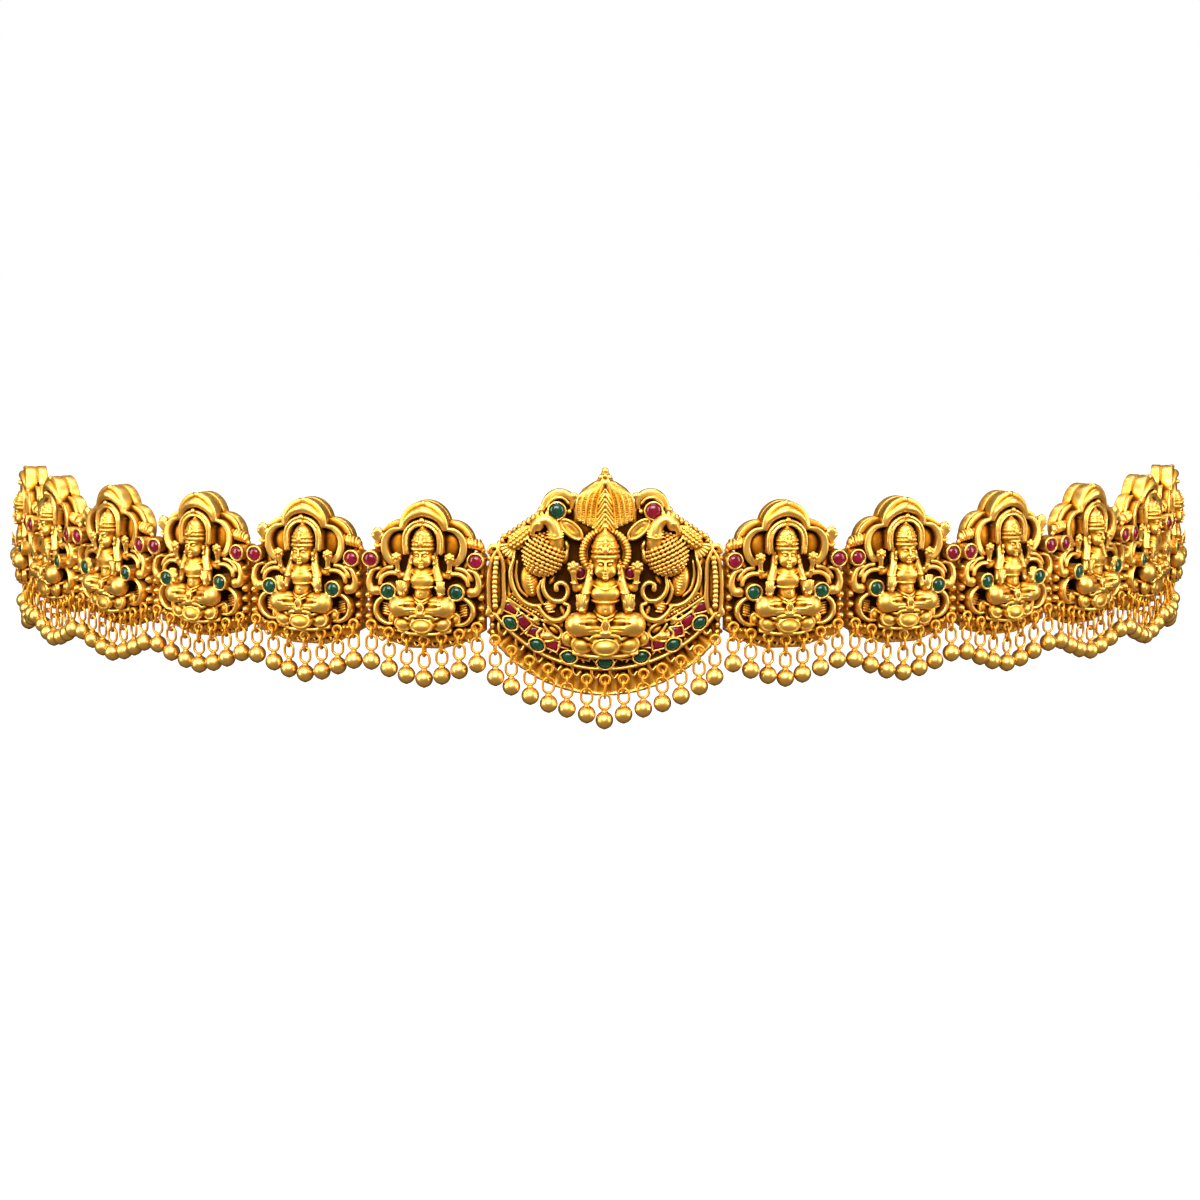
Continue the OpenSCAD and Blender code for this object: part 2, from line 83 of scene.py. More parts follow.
# Signed distances on a grid: x across, d forward from the back face, z up
class Field:
    def __init__(self, lo, hi, step):
        self.lo, self.step = np.array(lo, float), step
        self.n = np.ceil((np.array(hi, float) - self.lo) / step).astype(int) + 1
        self.f = np.full(self.n, 4.0, np.float32)
        self.ax = [(self.lo[i] + step * np.arange(self.n[i])).astype(np.float32) for i in range(3)]
        self.k, self.off, self.side = 1.0, np.zeros(3), 1

    def at(self, k=1.0, z=0.0):
        """Scale and height of the shapes that follow; a side of -1 mirrors them."""
        self.k, self.off = k, np.array([0, 0, z], float)

    def p(self, q):
        return np.array(q, float) * (self.side * self.k, self.k, self.k) + self.off

    def win(self, lo, hi):
        """The part of the grid round a box, and its coordinates."""
        a = np.floor((np.array(lo) - WINDOW_PAD - self.lo) / self.step).astype(int)
        b = np.ceil((np.array(hi) + WINDOW_PAD - self.lo) / self.step).astype(int) + 1
        a, b = np.clip(a, 0, self.n - 1), np.clip(b, 1, self.n)
        sl = tuple(slice(i, max(j, i + 1)) for i, j in zip(a, b))
        x, d, z = (self.ax[i][sl[i]] for i in range(3))
        return sl, x[:, None, None], d[None, :, None], z[None, None, :]

    def put(self, sl, d, blend, cut):
        """Join distances d to the field, or cut them out of it, with a soft seam of width blend."""
        a = self.f[sl]
        blend *= self.k
        if cut:
            d = -d
            if blend:
                h = np.maximum(blend - np.abs(a - d), 0) / blend
                self.f[sl] = np.maximum(a, d) + h * h * blend * 0.25
            else:
                self.f[sl] = np.maximum(a, d)
        elif blend:
            h = np.maximum(blend - np.abs(a - d), 0) / blend
            self.f[sl] = np.minimum(a, d) - h * h * blend * 0.25
        else:
            self.f[sl] = np.minimum(a, d)

    def egg(self, c, r, turn=0.0, blend=0.15, cut=False):
        """Ellipsoid with radii across, forward and up; turn leans it in the plane of the belt."""
        c, r = self.p(c), np.array(r, float) * self.k
        m = max(r)
        sl, x, d, z = self.win(c - m, c + m)
        x, d, z = x - c[0], d - c[1], z - c[2]
        if turn:
            t = math.radians(self.side * turn)
            x, z = x * math.cos(t) + z * math.sin(t), z * math.cos(t) - x * math.sin(t)
        k0 = np.sqrt((x / r[0]) ** 2 + (d / r[1]) ** 2 + (z / r[2]) ** 2)
        k1 = np.sqrt((x / r[0] ** 2) ** 2 + (d / r[1] ** 2) ** 2 + (z / r[2] ** 2) ** 2)
        self.put(sl, k0 * (k0 - 1) / np.maximum(k1, 1e-4), blend, cut)

    def ball(self, c, r, blend=0.1, cut=False):
        c, r = self.p(c), r * self.k
        sl, x, d, z = self.win(c - r, c + r)
        self.put(sl, np.sqrt((x - c[0]) ** 2 + (d - c[1]) ** 2 + (z - c[2]) ** 2) - r, blend, cut)

    def line(self, pts, r, blend=0.12, cut=False, twist=0.0):
        """Round wire through points, of one radius or one each; twist makes it a rope."""
        pts = [self.p(q) for q in pts]
        rs = (np.full(len(pts), r, float) if np.isscalar(r) else np.array(r, float)) * self.k
        P = np.array(pts)
        m = rs.max()
        sl = self.win(P.min(0) - m, P.max(0) + m)[0]
        tmp = np.full(self.f[sl].shape, 4.0, np.float32)
        base = [s.start for s in sl]
        run = 0.0
        for a, b, ra, rb in zip(pts[:-1], pts[1:], rs[:-1], rs[1:]):
            mm = max(ra, rb)
            s2, X, D, Z = self.win(np.minimum(a, b) - mm, np.maximum(a, b) + mm)
            loc = tuple(slice(max(s.start - o, 0), max(s.stop - o, 0)) for s, o in zip(s2, base))
            v = b - a
            vv = float(v @ v) or 1e-9
            ln = math.sqrt(vv)
            t = np.clip(((X - a[0]) * v[0] + (D - a[1]) * v[1] + (Z - a[2]) * v[2]) / vv, 0, 1)
            q = np.sqrt((X - a[0] - v[0] * t) ** 2 + (D - a[1] - v[1] * t) ** 2 + (Z - a[2] - v[2] * t) ** 2)
            rad = ra + (rb - ra) * t
            if twist:
                rad = rad * (ROPE_LOW + (1 - ROPE_LOW) * np.abs(np.sin((run + t * ln) * math.pi / twist)) * 2)
            w = q - rad
            c = tmp[loc]
            if c.shape == w.shape:
                np.minimum(c, w, out=c)
            run += ln
        self.put(sl, tmp, blend, cut)

    def curve(self, pts, r, blend=0.12, cut=False, twist=0.0):
        """Wire along a smooth path through points."""
        self.line(smooth_path(pts), r, blend, cut, twist)

    def wire(self, pts, d, r, blend=0.12, twist=0.0):
        """Wire at depth d along a smooth path through points (x, z)."""
        self.line(lift(smooth_path(pts), d), r, blend, twist=twist)

    def hoop(self, x, d, z, r, wire, blend=0.1, rz=None, n=21, cut=False):
        """Wire round a circle at depth d, or round an oval of half height rz."""
        self.line(lift(arc(x, z, r, 0, 360, n, rz), d), wire, blend, cut)

    def beads(self, pts, r, gap, blend=0.05):
        """Balls at equal steps along a line."""
        P = np.array(pts, float)
        seg = np.linalg.norm(np.diff(P, axis=0), axis=1)
        s = np.concatenate([[0], np.cumsum(seg)])
        n = max(int(round(s[-1] / gap)), 1)
        for i in range(n + 1):
            u = s[-1] * i / n
            self.ball([np.interp(u, s, P[:, j]) for j in range(3)], r, blend)

    def slab(self, fn, lo, hi, d0, d1, rnd=0.2, blend=0.0, cut=False):
        """An outline fn(x, z) of signed distances, from depth d0 to d1, with rounded edges."""
        a, b = self.p((lo[0], d0, lo[1])), self.p((hi[0], d1, hi[1]))
        sl, x, d, z = self.win(np.minimum(a, b), np.maximum(a, b))
        s2 = fn(self.side * x / self.k, (z - self.off[2]) / self.k) * self.k + rnd
        half = (b[1] - a[1]) / 2 - rnd
        dd = np.abs(d - (a[1] + b[1]) / 2) - half
        w = np.sqrt(np.maximum(s2, 0) ** 2 + np.maximum(dd, 0) ** 2) + np.minimum(np.maximum(s2, dd), 0) - rnd
        self.put(sl, w.astype(np.float32), blend, cut)

    def band(self, pts, w, d0, d1, rnd=0.25, blend=0.1):
        """A flat strip that follows points (x, z), of one half width or one each."""
        P = np.array(pts, float)
        W = np.full(len(P), w, float) if np.isscalar(w) else np.array(w, float)
        m = W.max()

        def fn(x, z):
            out = np.full(np.broadcast(x, z).shape, 9.0, np.float32)
            for (ax, az), (bx, bz), wa, wb in zip(P[:-1], P[1:], W[:-1], W[1:]):
                vx, vz = bx - ax, bz - az
                vv = vx * vx + vz * vz or 1e-9
                t = np.clip(((x - ax) * vx + (z - az) * vz) / vv, 0, 1)
                away = np.sqrt((x - ax - vx * t) ** 2 + (z - az - vz * t) ** 2)
                np.minimum(out, away - (wa + (wb - wa) * t), out=out)
            return out

        self.slab(fn, P.min(0) - m, P.max(0) + m, d0, d1, rnd, blend)


def surface(F):
    """Surface nets: one vertex in each cell that the surface crosses, one quad on each crossed edge."""
    f = F.f
    s = f < 0
    c = np.zeros(tuple(np.array(f.shape) - 1), np.int8)
    corners = [(i, j, k) for i in (0, 1) for j in (0, 1) for k in (0, 1)]
    nx, ny, nz = f.shape
    for i, j, k in corners:
        c += s[i:nx - 1 + i, j:ny - 1 + j, k:nz - 1 + k]
    mask = (c > 0) & (c < 8)
    cells = np.argwhere(mask)
    idx = np.full(c.shape, -1, np.int32)
    idx[mask] = np.arange(len(cells))
    acc, num = np.zeros((len(cells), 3), np.float32), np.zeros(len(cells), np.float32)
    for a in corners:
        for axis in range(3):
            if a[axis]:
                continue
            b = list(a)
            b[axis] = 1
            fa = f[cells[:, 0] + a[0], cells[:, 1] + a[1], cells[:, 2] + a[2]]
            fb = f[cells[:, 0] + b[0], cells[:, 1] + b[1], cells[:, 2] + b[2]]
            m = (fa < 0) != (fb < 0)
            t = fa[m] / (fa[m] - fb[m])
            q = np.array(a, np.float32) + np.zeros((m.sum(), 3), np.float32)
            q[:, axis] += t
            acc[m] += q
            num[m] += 1
    v = (cells + acc / num[:, None]) * F.step + F.lo
    quads = []
    for axis in range(3):
        u, w = [(1, 2), (2, 0), (0, 1)][axis]
        lo, hi = [slice(None)] * 3, [slice(None)] * 3
        lo[axis], hi[axis] = slice(0, -1), slice(1, None)
        e = s[tuple(lo)] != s[tuple(hi)]
        cut = [slice(None)] * 3
        cut[u], cut[w] = slice(1, -1), slice(1, -1)
        pos = np.argwhere(e[tuple(cut)])
        pos[:, u] += 1
        pos[:, w] += 1
        ring = []
        for du, dw in ((1, 1), (0, 1), (0, 0), (1, 0)):
            q = pos.copy()
            q[:, u] -= du
            q[:, w] -= dw
            ring.append(idx[q[:, 0], q[:, 1], q[:, 2]])
        ring = np.stack(ring, 1)
        inside = s[pos[:, 0], pos[:, 1], pos[:, 2]]
        ring[~inside] = ring[~inside][:, ::-1]
        quads.append(ring)
    return v, np.concatenate(quads)


def box_mean(a, r):
    """Mean over a cube of half width r cells."""
    out = a.astype(np.float32)
    for axis in range(3):
        pad = [(0, 0)] * 3
        pad[axis] = (r + 1, r)
        s = np.cumsum(np.pad(out, pad, mode="edge"), axis=axis, dtype=np.float32)
        n = out.shape[axis]
        hi, lo = [slice(None)] * 3, [slice(None)] * 3
        hi[axis], lo[axis] = slice(2 * r + 1, 2 * r + 1 + n), slice(0, n)
        out = (s[tuple(hi)] - s[tuple(lo)]) / (2 * r + 1)
    return out


def sample(a, F, v):
    g = (v - F.lo) / F.step
    i = np.clip(np.floor(g).astype(int), 0, np.array(a.shape) - 2)
    t = np.clip(g - i, 0, 1)
    out = 0
    for dx in (0, 1):
        for dy in (0, 1):
            for dz in (0, 1):
                w = (t[:, 0] if dx else 1 - t[:, 0]) * (t[:, 1] if dy else 1 - t[:, 1])
                w = w * (t[:, 2] if dz else 1 - t[:, 2])
                out = out + w * a[i[:, 0] + dx, i[:, 1] + dy, i[:, 2] + dz]
    return out


def make_mesh(name, v, faces, smooth=True):
    """Mesh from vertices in metres."""
    me = bpy.data.meshes.new(name)
    faces = np.asarray(faces)
    me.vertices.add(len(v))
    me.vertices.foreach_set("co", np.asarray(v, np.float32).ravel())
    me.loops.add(faces.size)
    me.loops.foreach_set("vertex_index", faces.ravel().astype(np.int32))
    me.polygons.add(len(faces))
    me.polygons.foreach_set("loop_start", np.arange(0, faces.size, faces.shape[1], dtype=np.int32))
    me.polygons.foreach_set("loop_total", np.full(len(faces), faces.shape[1], np.int32))
    me.update(calc_edges=True)
    if smooth:
        me.polygons.foreach_set("use_smooth", np.ones(len(faces), bool))
    return me


def sculpt(F, name, triangles):
    """Decimated surface of a field with a flat back: vertices, triangles and the depth of each hollow, as an
    amount of painted shade and patina.
    """
    F.f = np.maximum(F.f, -F.ax[1][None, :, None])
    v, q = surface(F)
    me = make_mesh(name + "_dense", v * MM * np.array([1, -1, 1]), q[:, ::-1])
    ob = bpy.data.objects.new(name + "_dense", me)
    bpy.context.scene.collection.objects.link(ob)
    mod = ob.modifiers.new("thin", "DECIMATE")
    mod.ratio = min(1.0, triangles / (2 * len(q)))
    mod.use_collapse_triangulate = True
    done = bpy.data.meshes.new_from_object(ob.evaluated_get(bpy.context.evaluated_depsgraph_get()))
    bpy.data.objects.remove(ob)
    bpy.data.meshes.remove(me)
    co = np.zeros(len(done.vertices) * 3, np.float32)
    done.vertices.foreach_get("co", co)
    co = co.reshape(-1, 3)
    done.calc_loop_triangles()
    tri = np.zeros(len(done.loop_triangles) * 3, np.int32)
    done.loop_triangles.foreach_get("vertices", tri)
    bpy.data.meshes.remove(done)
    at = co * np.array([1000, -1000, 1000])
    solid = F.f < 0
    fine = sample(box_mean(solid, max(1, round(FINE_R / F.step))), F, at)
    wide = sample(box_mean(solid, round(WIDE_R / F.step)), F, at)
    broad = sample(box_mean(solid, round(BROAD_R / F.step)), F, at)
    # painted shade and patina: a vertex is darker the fuller the cubes round it are, and the flat back gets
    # one even value
    patina_shade = (fine - 0.5) * 1.7 + np.maximum(wide - 0.42, 0) * 2.2 + np.maximum(broad - 0.4, 0) * 2.4
    patina_shade[at[:, 1] < 0.25] = BACK_PATINA_SHADE
    return co, tri.reshape(-1, 3), np.clip(patina_shade, 0, 1)


def build(name, parts):
    """One mesh from (vertices, faces, painted shade and patina) parts, with quads split into triangles."""
    vs, fs, rs, n = [], [], [], 0
    for v, f, r in parts:
        f = np.asarray(f)
        if f.shape[1] == 4:
            f = np.concatenate([f[:, [0, 1, 2]], f[:, [0, 2, 3]]])
        vs.append(v)
        fs.append(f + n)
        rs.append(np.full(len(v), r, np.float32) if np.isscalar(r) else r)
        n += len(v)
    me = make_mesh(name, np.concatenate(vs), np.concatenate(fs))
    # point attribute of painted shade and patina, read by the gold materials
    me.attributes.new("patina_and_shade", "FLOAT", "POINT").data.foreach_set("value",
            np.concatenate(rs).astype(np.float32))
    return me


# Small swept pieces
def tube(path, radius, sides, closed=True):
    """Round wire along a path of points, in millimetres."""
    P = np.array(path, float)
    n = len(P)
    T = (np.roll(P, -1, 0) - np.roll(P, 1, 0)) if closed else np.gradient(P, axis=0)
    T /= np.linalg.norm(T, axis=1)[:, None]
    up = np.array([0.0, 0, 1]) if abs(T[:, 2]).max() < 0.9 else None
    N = np.zeros_like(P)
    a = np.array([0.3, 0.9, 0.3]) if up is None else up
    N[0] = np.cross(T[0], a)
    N[0] /= np.linalg.norm(N[0])
    for i in range(1, n):
        q = N[i - 1] - T[i] * (N[i - 1] @ T[i])
        N[i] = q / np.linalg.norm(q)
    if closed:
        last = N[-1] - T[0] * (N[-1] @ T[0])
        last /= np.linalg.norm(last)
        ang = math.atan2(np.cross(last, N[0]) @ T[0], last @ N[0])
        B = np.cross(T, N)
        w = np.arange(n) / n * ang
        N = N * np.cos(w)[:, None] + B * np.sin(w)[:, None]
    B = np.cross(T, N)
    R = np.full(n, radius, float) if np.isscalar(radius) else np.array(radius, float)
    a = np.arange(sides) * 2 * math.pi / sides
    out = np.cos(a)[None, :, None] * N[:, None] + np.sin(a)[None, :, None] * B[:, None]
    v = (P[:, None] + R[:, None, None] * out).reshape(-1, 3)
    rows = n if closed else n - 1
    i, j = np.meshgrid(np.arange(rows), np.arange(sides), indexing="ij")
    i2, j2 = (i + 1) % n, (j + 1) % sides
    f = np.stack([i * sides + j, i * sides + j2, i2 * sides + j2, i2 * sides + j], -1).reshape(-1, 4)
    if not closed:
        v = np.concatenate([v, P[[0, -1]]])
        k = np.arange(sides)
        k2 = (k + 1) % sides
        first = np.stack([k2, k, np.full(sides, n * sides), np.full(sides, n * sides)], 1)
        end = (n - 1) * sides
        last = np.stack([end + k, end + k2, np.full(sides, n * sides + 1), np.full(sides, n * sides + 1)], 1)
        tri = np.concatenate([first[:, :3], last[:, :3]])
        f = np.concatenate([f[:, [0, 1, 2]], f[:, [0, 2, 3]], tri])
    return v, f


def lathe(profile, sides):
    """Round solid from (radius, height) points; both ends lie on the axis."""
    P = np.array(profile, float)
    a = np.arange(sides) * 2 * math.pi / sides
    v = np.stack([P[:, 0, None] * np.cos(a), P[:, 0, None] * np.sin(a), np.repeat(P[:, 1, None], sides, 1)],
                 -1).reshape(-1, 3)
    n = len(P)
    i, j = np.meshgrid(np.arange(n - 1), np.arange(sides), indexing="ij")
    j2 = (j + 1) % sides
    low, high = i * sides, (i + 1) * sides
    f = np.stack([low + j, low + j2, high + j2, high + j], -1).reshape(-1, 4)
    return v, f


def ring_path(r, n, stretch=0.0):
    """Points of a ring in the plane y = 0, or of an oval link that is stretch longer up and down."""
    a = (np.arange(n) + 0.5) * 2 * math.pi / n
    p = np.stack([r * np.cos(a), 0 * a, r * np.sin(a)], 1)
    p[:, 2] += np.sign(p[:, 2]) * stretch / 2
    return p


def turned(v, a, axis="Z"):
    return v @ np.array(Matrix.Rotation(a, 3, axis)).T


def front(x, d, z):
    return np.array([x, -d, z], float)


# Paths
def arc(cx, cz, r, a0, a1, n, rz=None):
    """Points (x, z) of an arc between two angles in degrees."""
    a = np.radians(np.linspace(a0, a1, n))
    return [(cx + r * math.cos(t), cz + (rz or r) * math.sin(t)) for t in a]


def lift(pts, d):
    """(x, z) points put at a depth, or at one depth each."""
    ds = [d] * len(pts) if np.isscalar(d) else d
    return [(x, dd, z) for (x, z), dd in zip(pts, ds)]


def taper(path, at, widths):
    """One width for each point of a path, from widths at shares of its way."""
    return np.interp(np.linspace(0, 1, len(path)), at, widths)


def smooth_path(pts, n=6):
    """Curve through points."""
    P = np.array(pts, float)
    Q = np.concatenate([[2 * P[0] - P[1]], P, [2 * P[-1] - P[-2]]])
    out = []
    for i in range(1, len(Q) - 2):
        for t in np.linspace(0, 1, n, endpoint=False):
            p, q, r, s = Q[i - 1], Q[i], Q[i + 1], Q[i + 2]
            bend = 2 * q + (r - p) * t + (2 * p - 5 * q + 4 * r - s) * t * t
            out.append(0.5 * (bend + (3 * q - p - 3 * r + s) * t ** 3))
    out.append(P[-1])
    return [tuple(o) for o in out]


def bow(*pts):
    """Path that mirrors itself, from its right half given outside first and the point in the middle."""
    return [(-x, d, z) for x, d, z in pts[:-1]] + list(pts[::-1])


# The seated figure and the side panel
def figure(F):
    """The seated figure, with the bottom of its lotus at height 0."""
    # lotus seat
    F.egg((0, 2.6, 2.5), (7.2, 5.6, 2.6), blend=0.2)
    F.slab(lambda x, z: np.maximum(np.abs(z - 2.6) - 2.2, np.abs(x) - 6.4), (-6.5, 0.3), (6.5, 4.9), 2.2,
           5.6, 0.5, 0.3)
    F.egg((0, 3.9, 2.5), (7.5, 3.9, 2.5), blend=0.3)
    for x, d, z, w, h, t in ((0, 7.75, 2.05, 2.85, 1.8, 0), (4.5, 6.6, 2.4, 2.15, 1.8, 14),
                             (6.9, 4.6, 3.3, 1.5, 1.6, 30)):
        for F.side in ((1,) if x == 0 else (-1, 1)):
            F.egg((x, d, z), (w, 0.95, h), turn=t, blend=0.1)
            F.hoop(x, d + 0.5, z, w * 0.86, 0.24, 0.08, h * 0.86)
            F.hoop(x, d + 0.84, z - 0.1, w * 0.66, 0.12, 0.03, h * 0.64, cut=True)
            F.egg((x, d + 0.62, z - 0.1), (w * 0.58, 0.5, h * 0.55), turn=t, blend=0.03)
    for F.side in (-1, 1):
        F.curve([(7.3, 4.2, 4.7), (6.1, 6.3, 3.9), (4.6, 7.3, 4.2), (3, 8.0, 3.6), (2.2, 8.4, 4.2),
                 (0, 8.8, 4.4)], 0.36, 0.2)
        F.egg((2.1, 7.7, 3.4), (0.9, 0.6, 0.7), blend=0.15)
    F.line(bow((6, 5.4, 0.5), (3, 7, 0.1), (0, 7.6, 0.0)), 0.4, 0.2)
    # crossed legs
    for F.side in (-1, 1):
        F.line([(1.3, 6.4, 6.9), (3.4, 7.0, 6.9), (5.2, 7.2, 6.5)], [1.5, 1.85, 2.15], 0.3)
        F.egg((5.35, 7.4, 6.35), (2.4, 2.15, 2.35), blend=0.4)
        F.line([(5.2, 7.6, 5.9), (3.2, 8.0, 5.7), (1.3, 8.1, 5.5)], [1.7, 1.35, 0.85], 0.3)
        F.curve([(1.1, 8.65, 6.55), (3.0, 8.95, 6.65), (4.9, 9.3, 6.75)], [0.34] * 9 + [0.14] * 4, 0.15,
                cut=True)
        F.curve([(1.7, 8.1, 7.6), (3.1, 8.6, 7.8), (4.6, 8.95, 7.7)], [0.22] * 9 + [0.1] * 4, 0.12, cut=True)
        F.curve([(1.2, 8.95, 5.6), (2.8, 9.3, 5.45), (4.4, 9.4, 5.3)], [0.2] * 9 + [0.08] * 4, 0.1, cut=True)
    F.egg((0, 8.4, 6.5), (0.8, 0.8, 1.2), blend=0.1)
    F.egg((0, 8.7, 4.9), (1.15, 0.8, 0.6), blend=0.1)
    for F.side in (-1, 1):
        F.line([(0.2, 9.0, 7.4), (0.8, 9.1, 6.2), (0.5, 9.2, 5.2)], 0.18, 0.08)
    # waist, girdle, bodice
    F.line([(0, 5.6, 6.6), (0, 5.9, 8.4), (0, 6.0, 9.8), (0, 5.8, 11.4), (0, 5.6, 13.6)],
           [2.6, 2.15, 1.85, 2.2, 2.3], 0.3)
    F.egg((0, 6.8, 9.5), (1.6, 1.3, 1.5), blend=0.6)
    F.ball((0, 8.05, 9.3), 0.16, 0.05, cut=True)
    F.curve(bow((2.1, 6.6, 8.8), (1.2, 7.9, 8.1), (0, 8.3, 7.7)), 0.26, 0.05)
    F.curve(bow((2.4, 6.4, 8.2), (1.3, 8.0, 7.5), (0, 8.6, 7.0)), 0.22, 0.05)
    for F.side in (-1, 1):
        F.ball((1.45, 6.85, 12.3), 1.25, 0.6)
        F.line([(2.9, 5.6, 14.1), (1.4, 5.8, 14.0), (0, 5.8, 14.0)], [1.0, 1.1, 1.0], 0.4)
    # fitted bodice: cloth across the chest, hem, neckline and short sleeves
    F.egg((0, 6.7, 12.2), (2.5, 1.3, 1.5), blend=0.5)
    F.curve(bow((2.5, 6.3, 10.9), (1.4, 7.6, 10.7), (0, 8.0, 10.7)), 0.26, 0.05)
    F.curve(bow((2.3, 6.7, 13.9), (1.2, 7.6, 13.5), (0, 7.9, 13.2)), 0.2, 0.05)
    for F.side in (-1, 1):
        F.line([(2.9, 5.8, 14.2), (3.5, 6.1, 12.6)], [1.12, 1.02], 0.15)
    F.curve(bow((1.5, 6.5, 15.0), (0.9, 7.1, 14.1), (0, 7.5, 13.4)), 0.24, 0.05, twist=0.35)
    F.line([(0, 5.6, 13.8), (0, 5.8, 16.2)], [1.0, 0.9], 0.3)
    # arms with bangles, open hands in front and lotus buds held up behind
    for F.side in (-1, 1):
        F.line([(3.0, 5.7, 14.0), (3.7, 6.0, 12.0), (4.1, 6.4, 9.7)], [1.0, 0.85, 0.75], 0.3)
        F.line([(4.1, 6.4, 9.6), (4.4, 7.5, 9.0), (4.6, 8.2, 9.7)], [0.8, 0.75, 0.7], 0.2)
        F.egg((4.65, 8.5, 10.5), (1.05, 0.5, 1.2), turn=-8, blend=0.1)
        for i in range(4):
            F.line([(4.0 + 0.44 * i, 8.7, 10.9), (3.9 + 0.52 * i, 8.75, 12.4 - 0.15 * abs(i - 1.5))], 0.22,
                   0.05)
        F.line([(3.8, 8.7, 10.4), (3.45, 8.7, 11.1)], 0.2, 0.05)
        F.line([(2.85, 6.8, 12.5), (3.5, 7.15, 12.3), (4.2, 6.8, 12.3), (4.5, 6.2, 12.4)], 0.24, 0.05)
        F.line([(3.8, 8.2, 9.5), (4.6, 8.95, 9.3), (5.4, 8.2, 9.5)], 0.22, 0.05)
        F.line([(2.7, 4.9, 14.1), (4.2, 4.7, 13.2), (5.6, 4.9, 13.0)], [0.85, 0.75, 0.7], 0.25)
        F.line([(5.6, 4.9, 13.0), (5.95, 5.4, 14.6), (6.05, 5.7, 15.6)], [0.66, 0.55, 0.55], 0.2)
        F.line([(5.35, 5.9, 14.2), (6.0, 6.05, 14.1), (6.6, 5.6, 14.3)], 0.18, 0.05)
        F.egg((6.1, 5.7, 16.4), (0.8, 0.7, 0.8), blend=0.1)
        for a in range(6):
            t = a * math.pi / 3 + 0.5
            F.ball((6.15 + F.side * 0.82 * math.cos(t), 5.9, 17.35 + 0.75 * math.sin(t)), 0.46, 0.06)
        F.ball((6.15, 6.3, 17.35), 0.5, 0.06)
    # hair, earrings, head
    for F.side in (-1, 1):
        F.line([(2.3, 5.0, 18.4), (2.75, 5.2, 16.4), (3.2, 5.9, 14.7), (3.35, 6.4, 13.2)],
               [0.75, 0.8, 0.65, 0.4], 0.12, twist=0.5)
        F.egg((2.5, 6.2, 17.2), (0.42, 0.42, 0.8), blend=0.05)
        F.ball((2.65, 6.5, 16.1), 0.46, 0.05)
        F.line([(2.7, 6.5, 15.8), (2.8, 6.5, 14.8)], [0.2, 0.44], 0.05)
    F.egg((0, 5.8, 17.7), (2.3, 2.2, 2.7), blend=0.15)
    F.egg((0, 6.6, 16.9), (1.8, 1.75, 2.15), blend=0.5)
    # calm, even face
    F.egg((0, 7.5, 18.9), (1.75, 0.8, 0.75), blend=0.5)
    F.line([(0, 8.3, 18.5), (0, 8.55, 17.7), (0, 8.75, 17.1)], [0.18, 0.22, 0.34], 0.22)
    F.egg((0, 8.1, 15.4), (0.62, 0.45, 0.45), blend=0.35)
    for F.side in (-1, 1):
        F.egg((1.15, 7.35, 16.55), (0.85, 0.75, 0.9), blend=0.5)
        F.egg((0.88, 8.15, 18.0), (0.62, 0.36, 0.4), blend=0.2, cut=True)
        F.egg((0.88, 7.87, 17.97), (0.53, 0.34, 0.31), blend=0.06)
        F.line(smooth_path([(0.36, 8.2, 17.93), (0.88, 8.27, 17.8), (1.4, 7.9, 17.93)], 4), 0.08, 0.04,
               cut=True)
        F.line(smooth_path([(0.32, 8.22, 18.5), (0.92, 8.2, 18.7), (1.6, 7.7, 18.45)], 4), 0.15, 0.12)
    F.line(bow((0.58, 8.25, 16.4), (0, 8.5, 16.47)), [0.13, 0.19, 0.13], 0.08)
    F.line(bow((0.42, 8.25, 16.03), (0, 8.45, 15.96)), [0.13, 0.2, 0.13], 0.08)
    F.line(bow((0.66, 8.35, 16.24), (0, 8.62, 16.21)), 0.07, 0.03, cut=True)
    # tiered crown with a jewel in front
    F.line(bow((2.45, 6.0, 19.4), (1.8, 7.6, 19.45), (0, 8.4, 19.5)), 0.36, 0.08, twist=0.42)
    F.line([(0, 5.6, 19.3), (0, 5.6, 20.8), (0, 5.6, 22.0), (0, 5.6, 23.1), (0, 5.6, 23.8)],
           [2.5, 2.5, 2.05, 1.2, 0.5], 0.15)
    for z, r in ((20.35, 2.6), (21.25, 2.5), (22.1, 2.1), (22.9, 1.5)):
        F.line([(r * math.sin(a), 5.6 + r * math.cos(a), z) for a in np.radians(np.linspace(-85, 85, 13))],
               0.2, 0.06, twist=0.4)
    F.egg((0, 8.15, 20.8), (0.62, 0.45, 0.9), blend=0.05)
    F.egg((0, 7.75, 22.1), (0.45, 0.45, 0.7), blend=0.05)
    F.egg((0, 7.0, 23.1), (0.35, 0.4, 0.6), blend=0.05)
    for F.side in (-1, 1):
        F.ball((1.05, 7.95, 20.5), 0.38, 0.05)
        F.ball((1.8, 7.45, 20.45), 0.32, 0.05)
        F.ball((0.8, 7.75, 21.5), 0.32, 0.05)
        F.ball((1.5, 7.2, 21.6), 0.3, 0.05)
    F.ball((0, 5.8, 24.2), 0.42, 0.1)


def round_fn(cx, cz, r):
    """Signed distance of a disc."""
    return lambda x, z: np.sqrt((x - cx) ** 2 + (z - cz) ** 2) - r


def bezel(F, x, z, r, d0, d1):
    """Round setting with a raised rim and a seat for its stone."""
    F.slab(round_fn(x, z, r * 0.93), (x - r, z - r), (x + r, z + r), d0, d1 - 0.35, 0.15, 0.1)
    F.hoop(x, d1 - 0.25, z, r - 0.22, 0.28, 0.08, n=25)
    F.slab(round_fn(x, z, r - 0.4), (x - r, z - r), (x + r, z + r), d1 - SEAT_DEPTH, d1 + 0.6, 0.05, 0.0,
           cut=True)


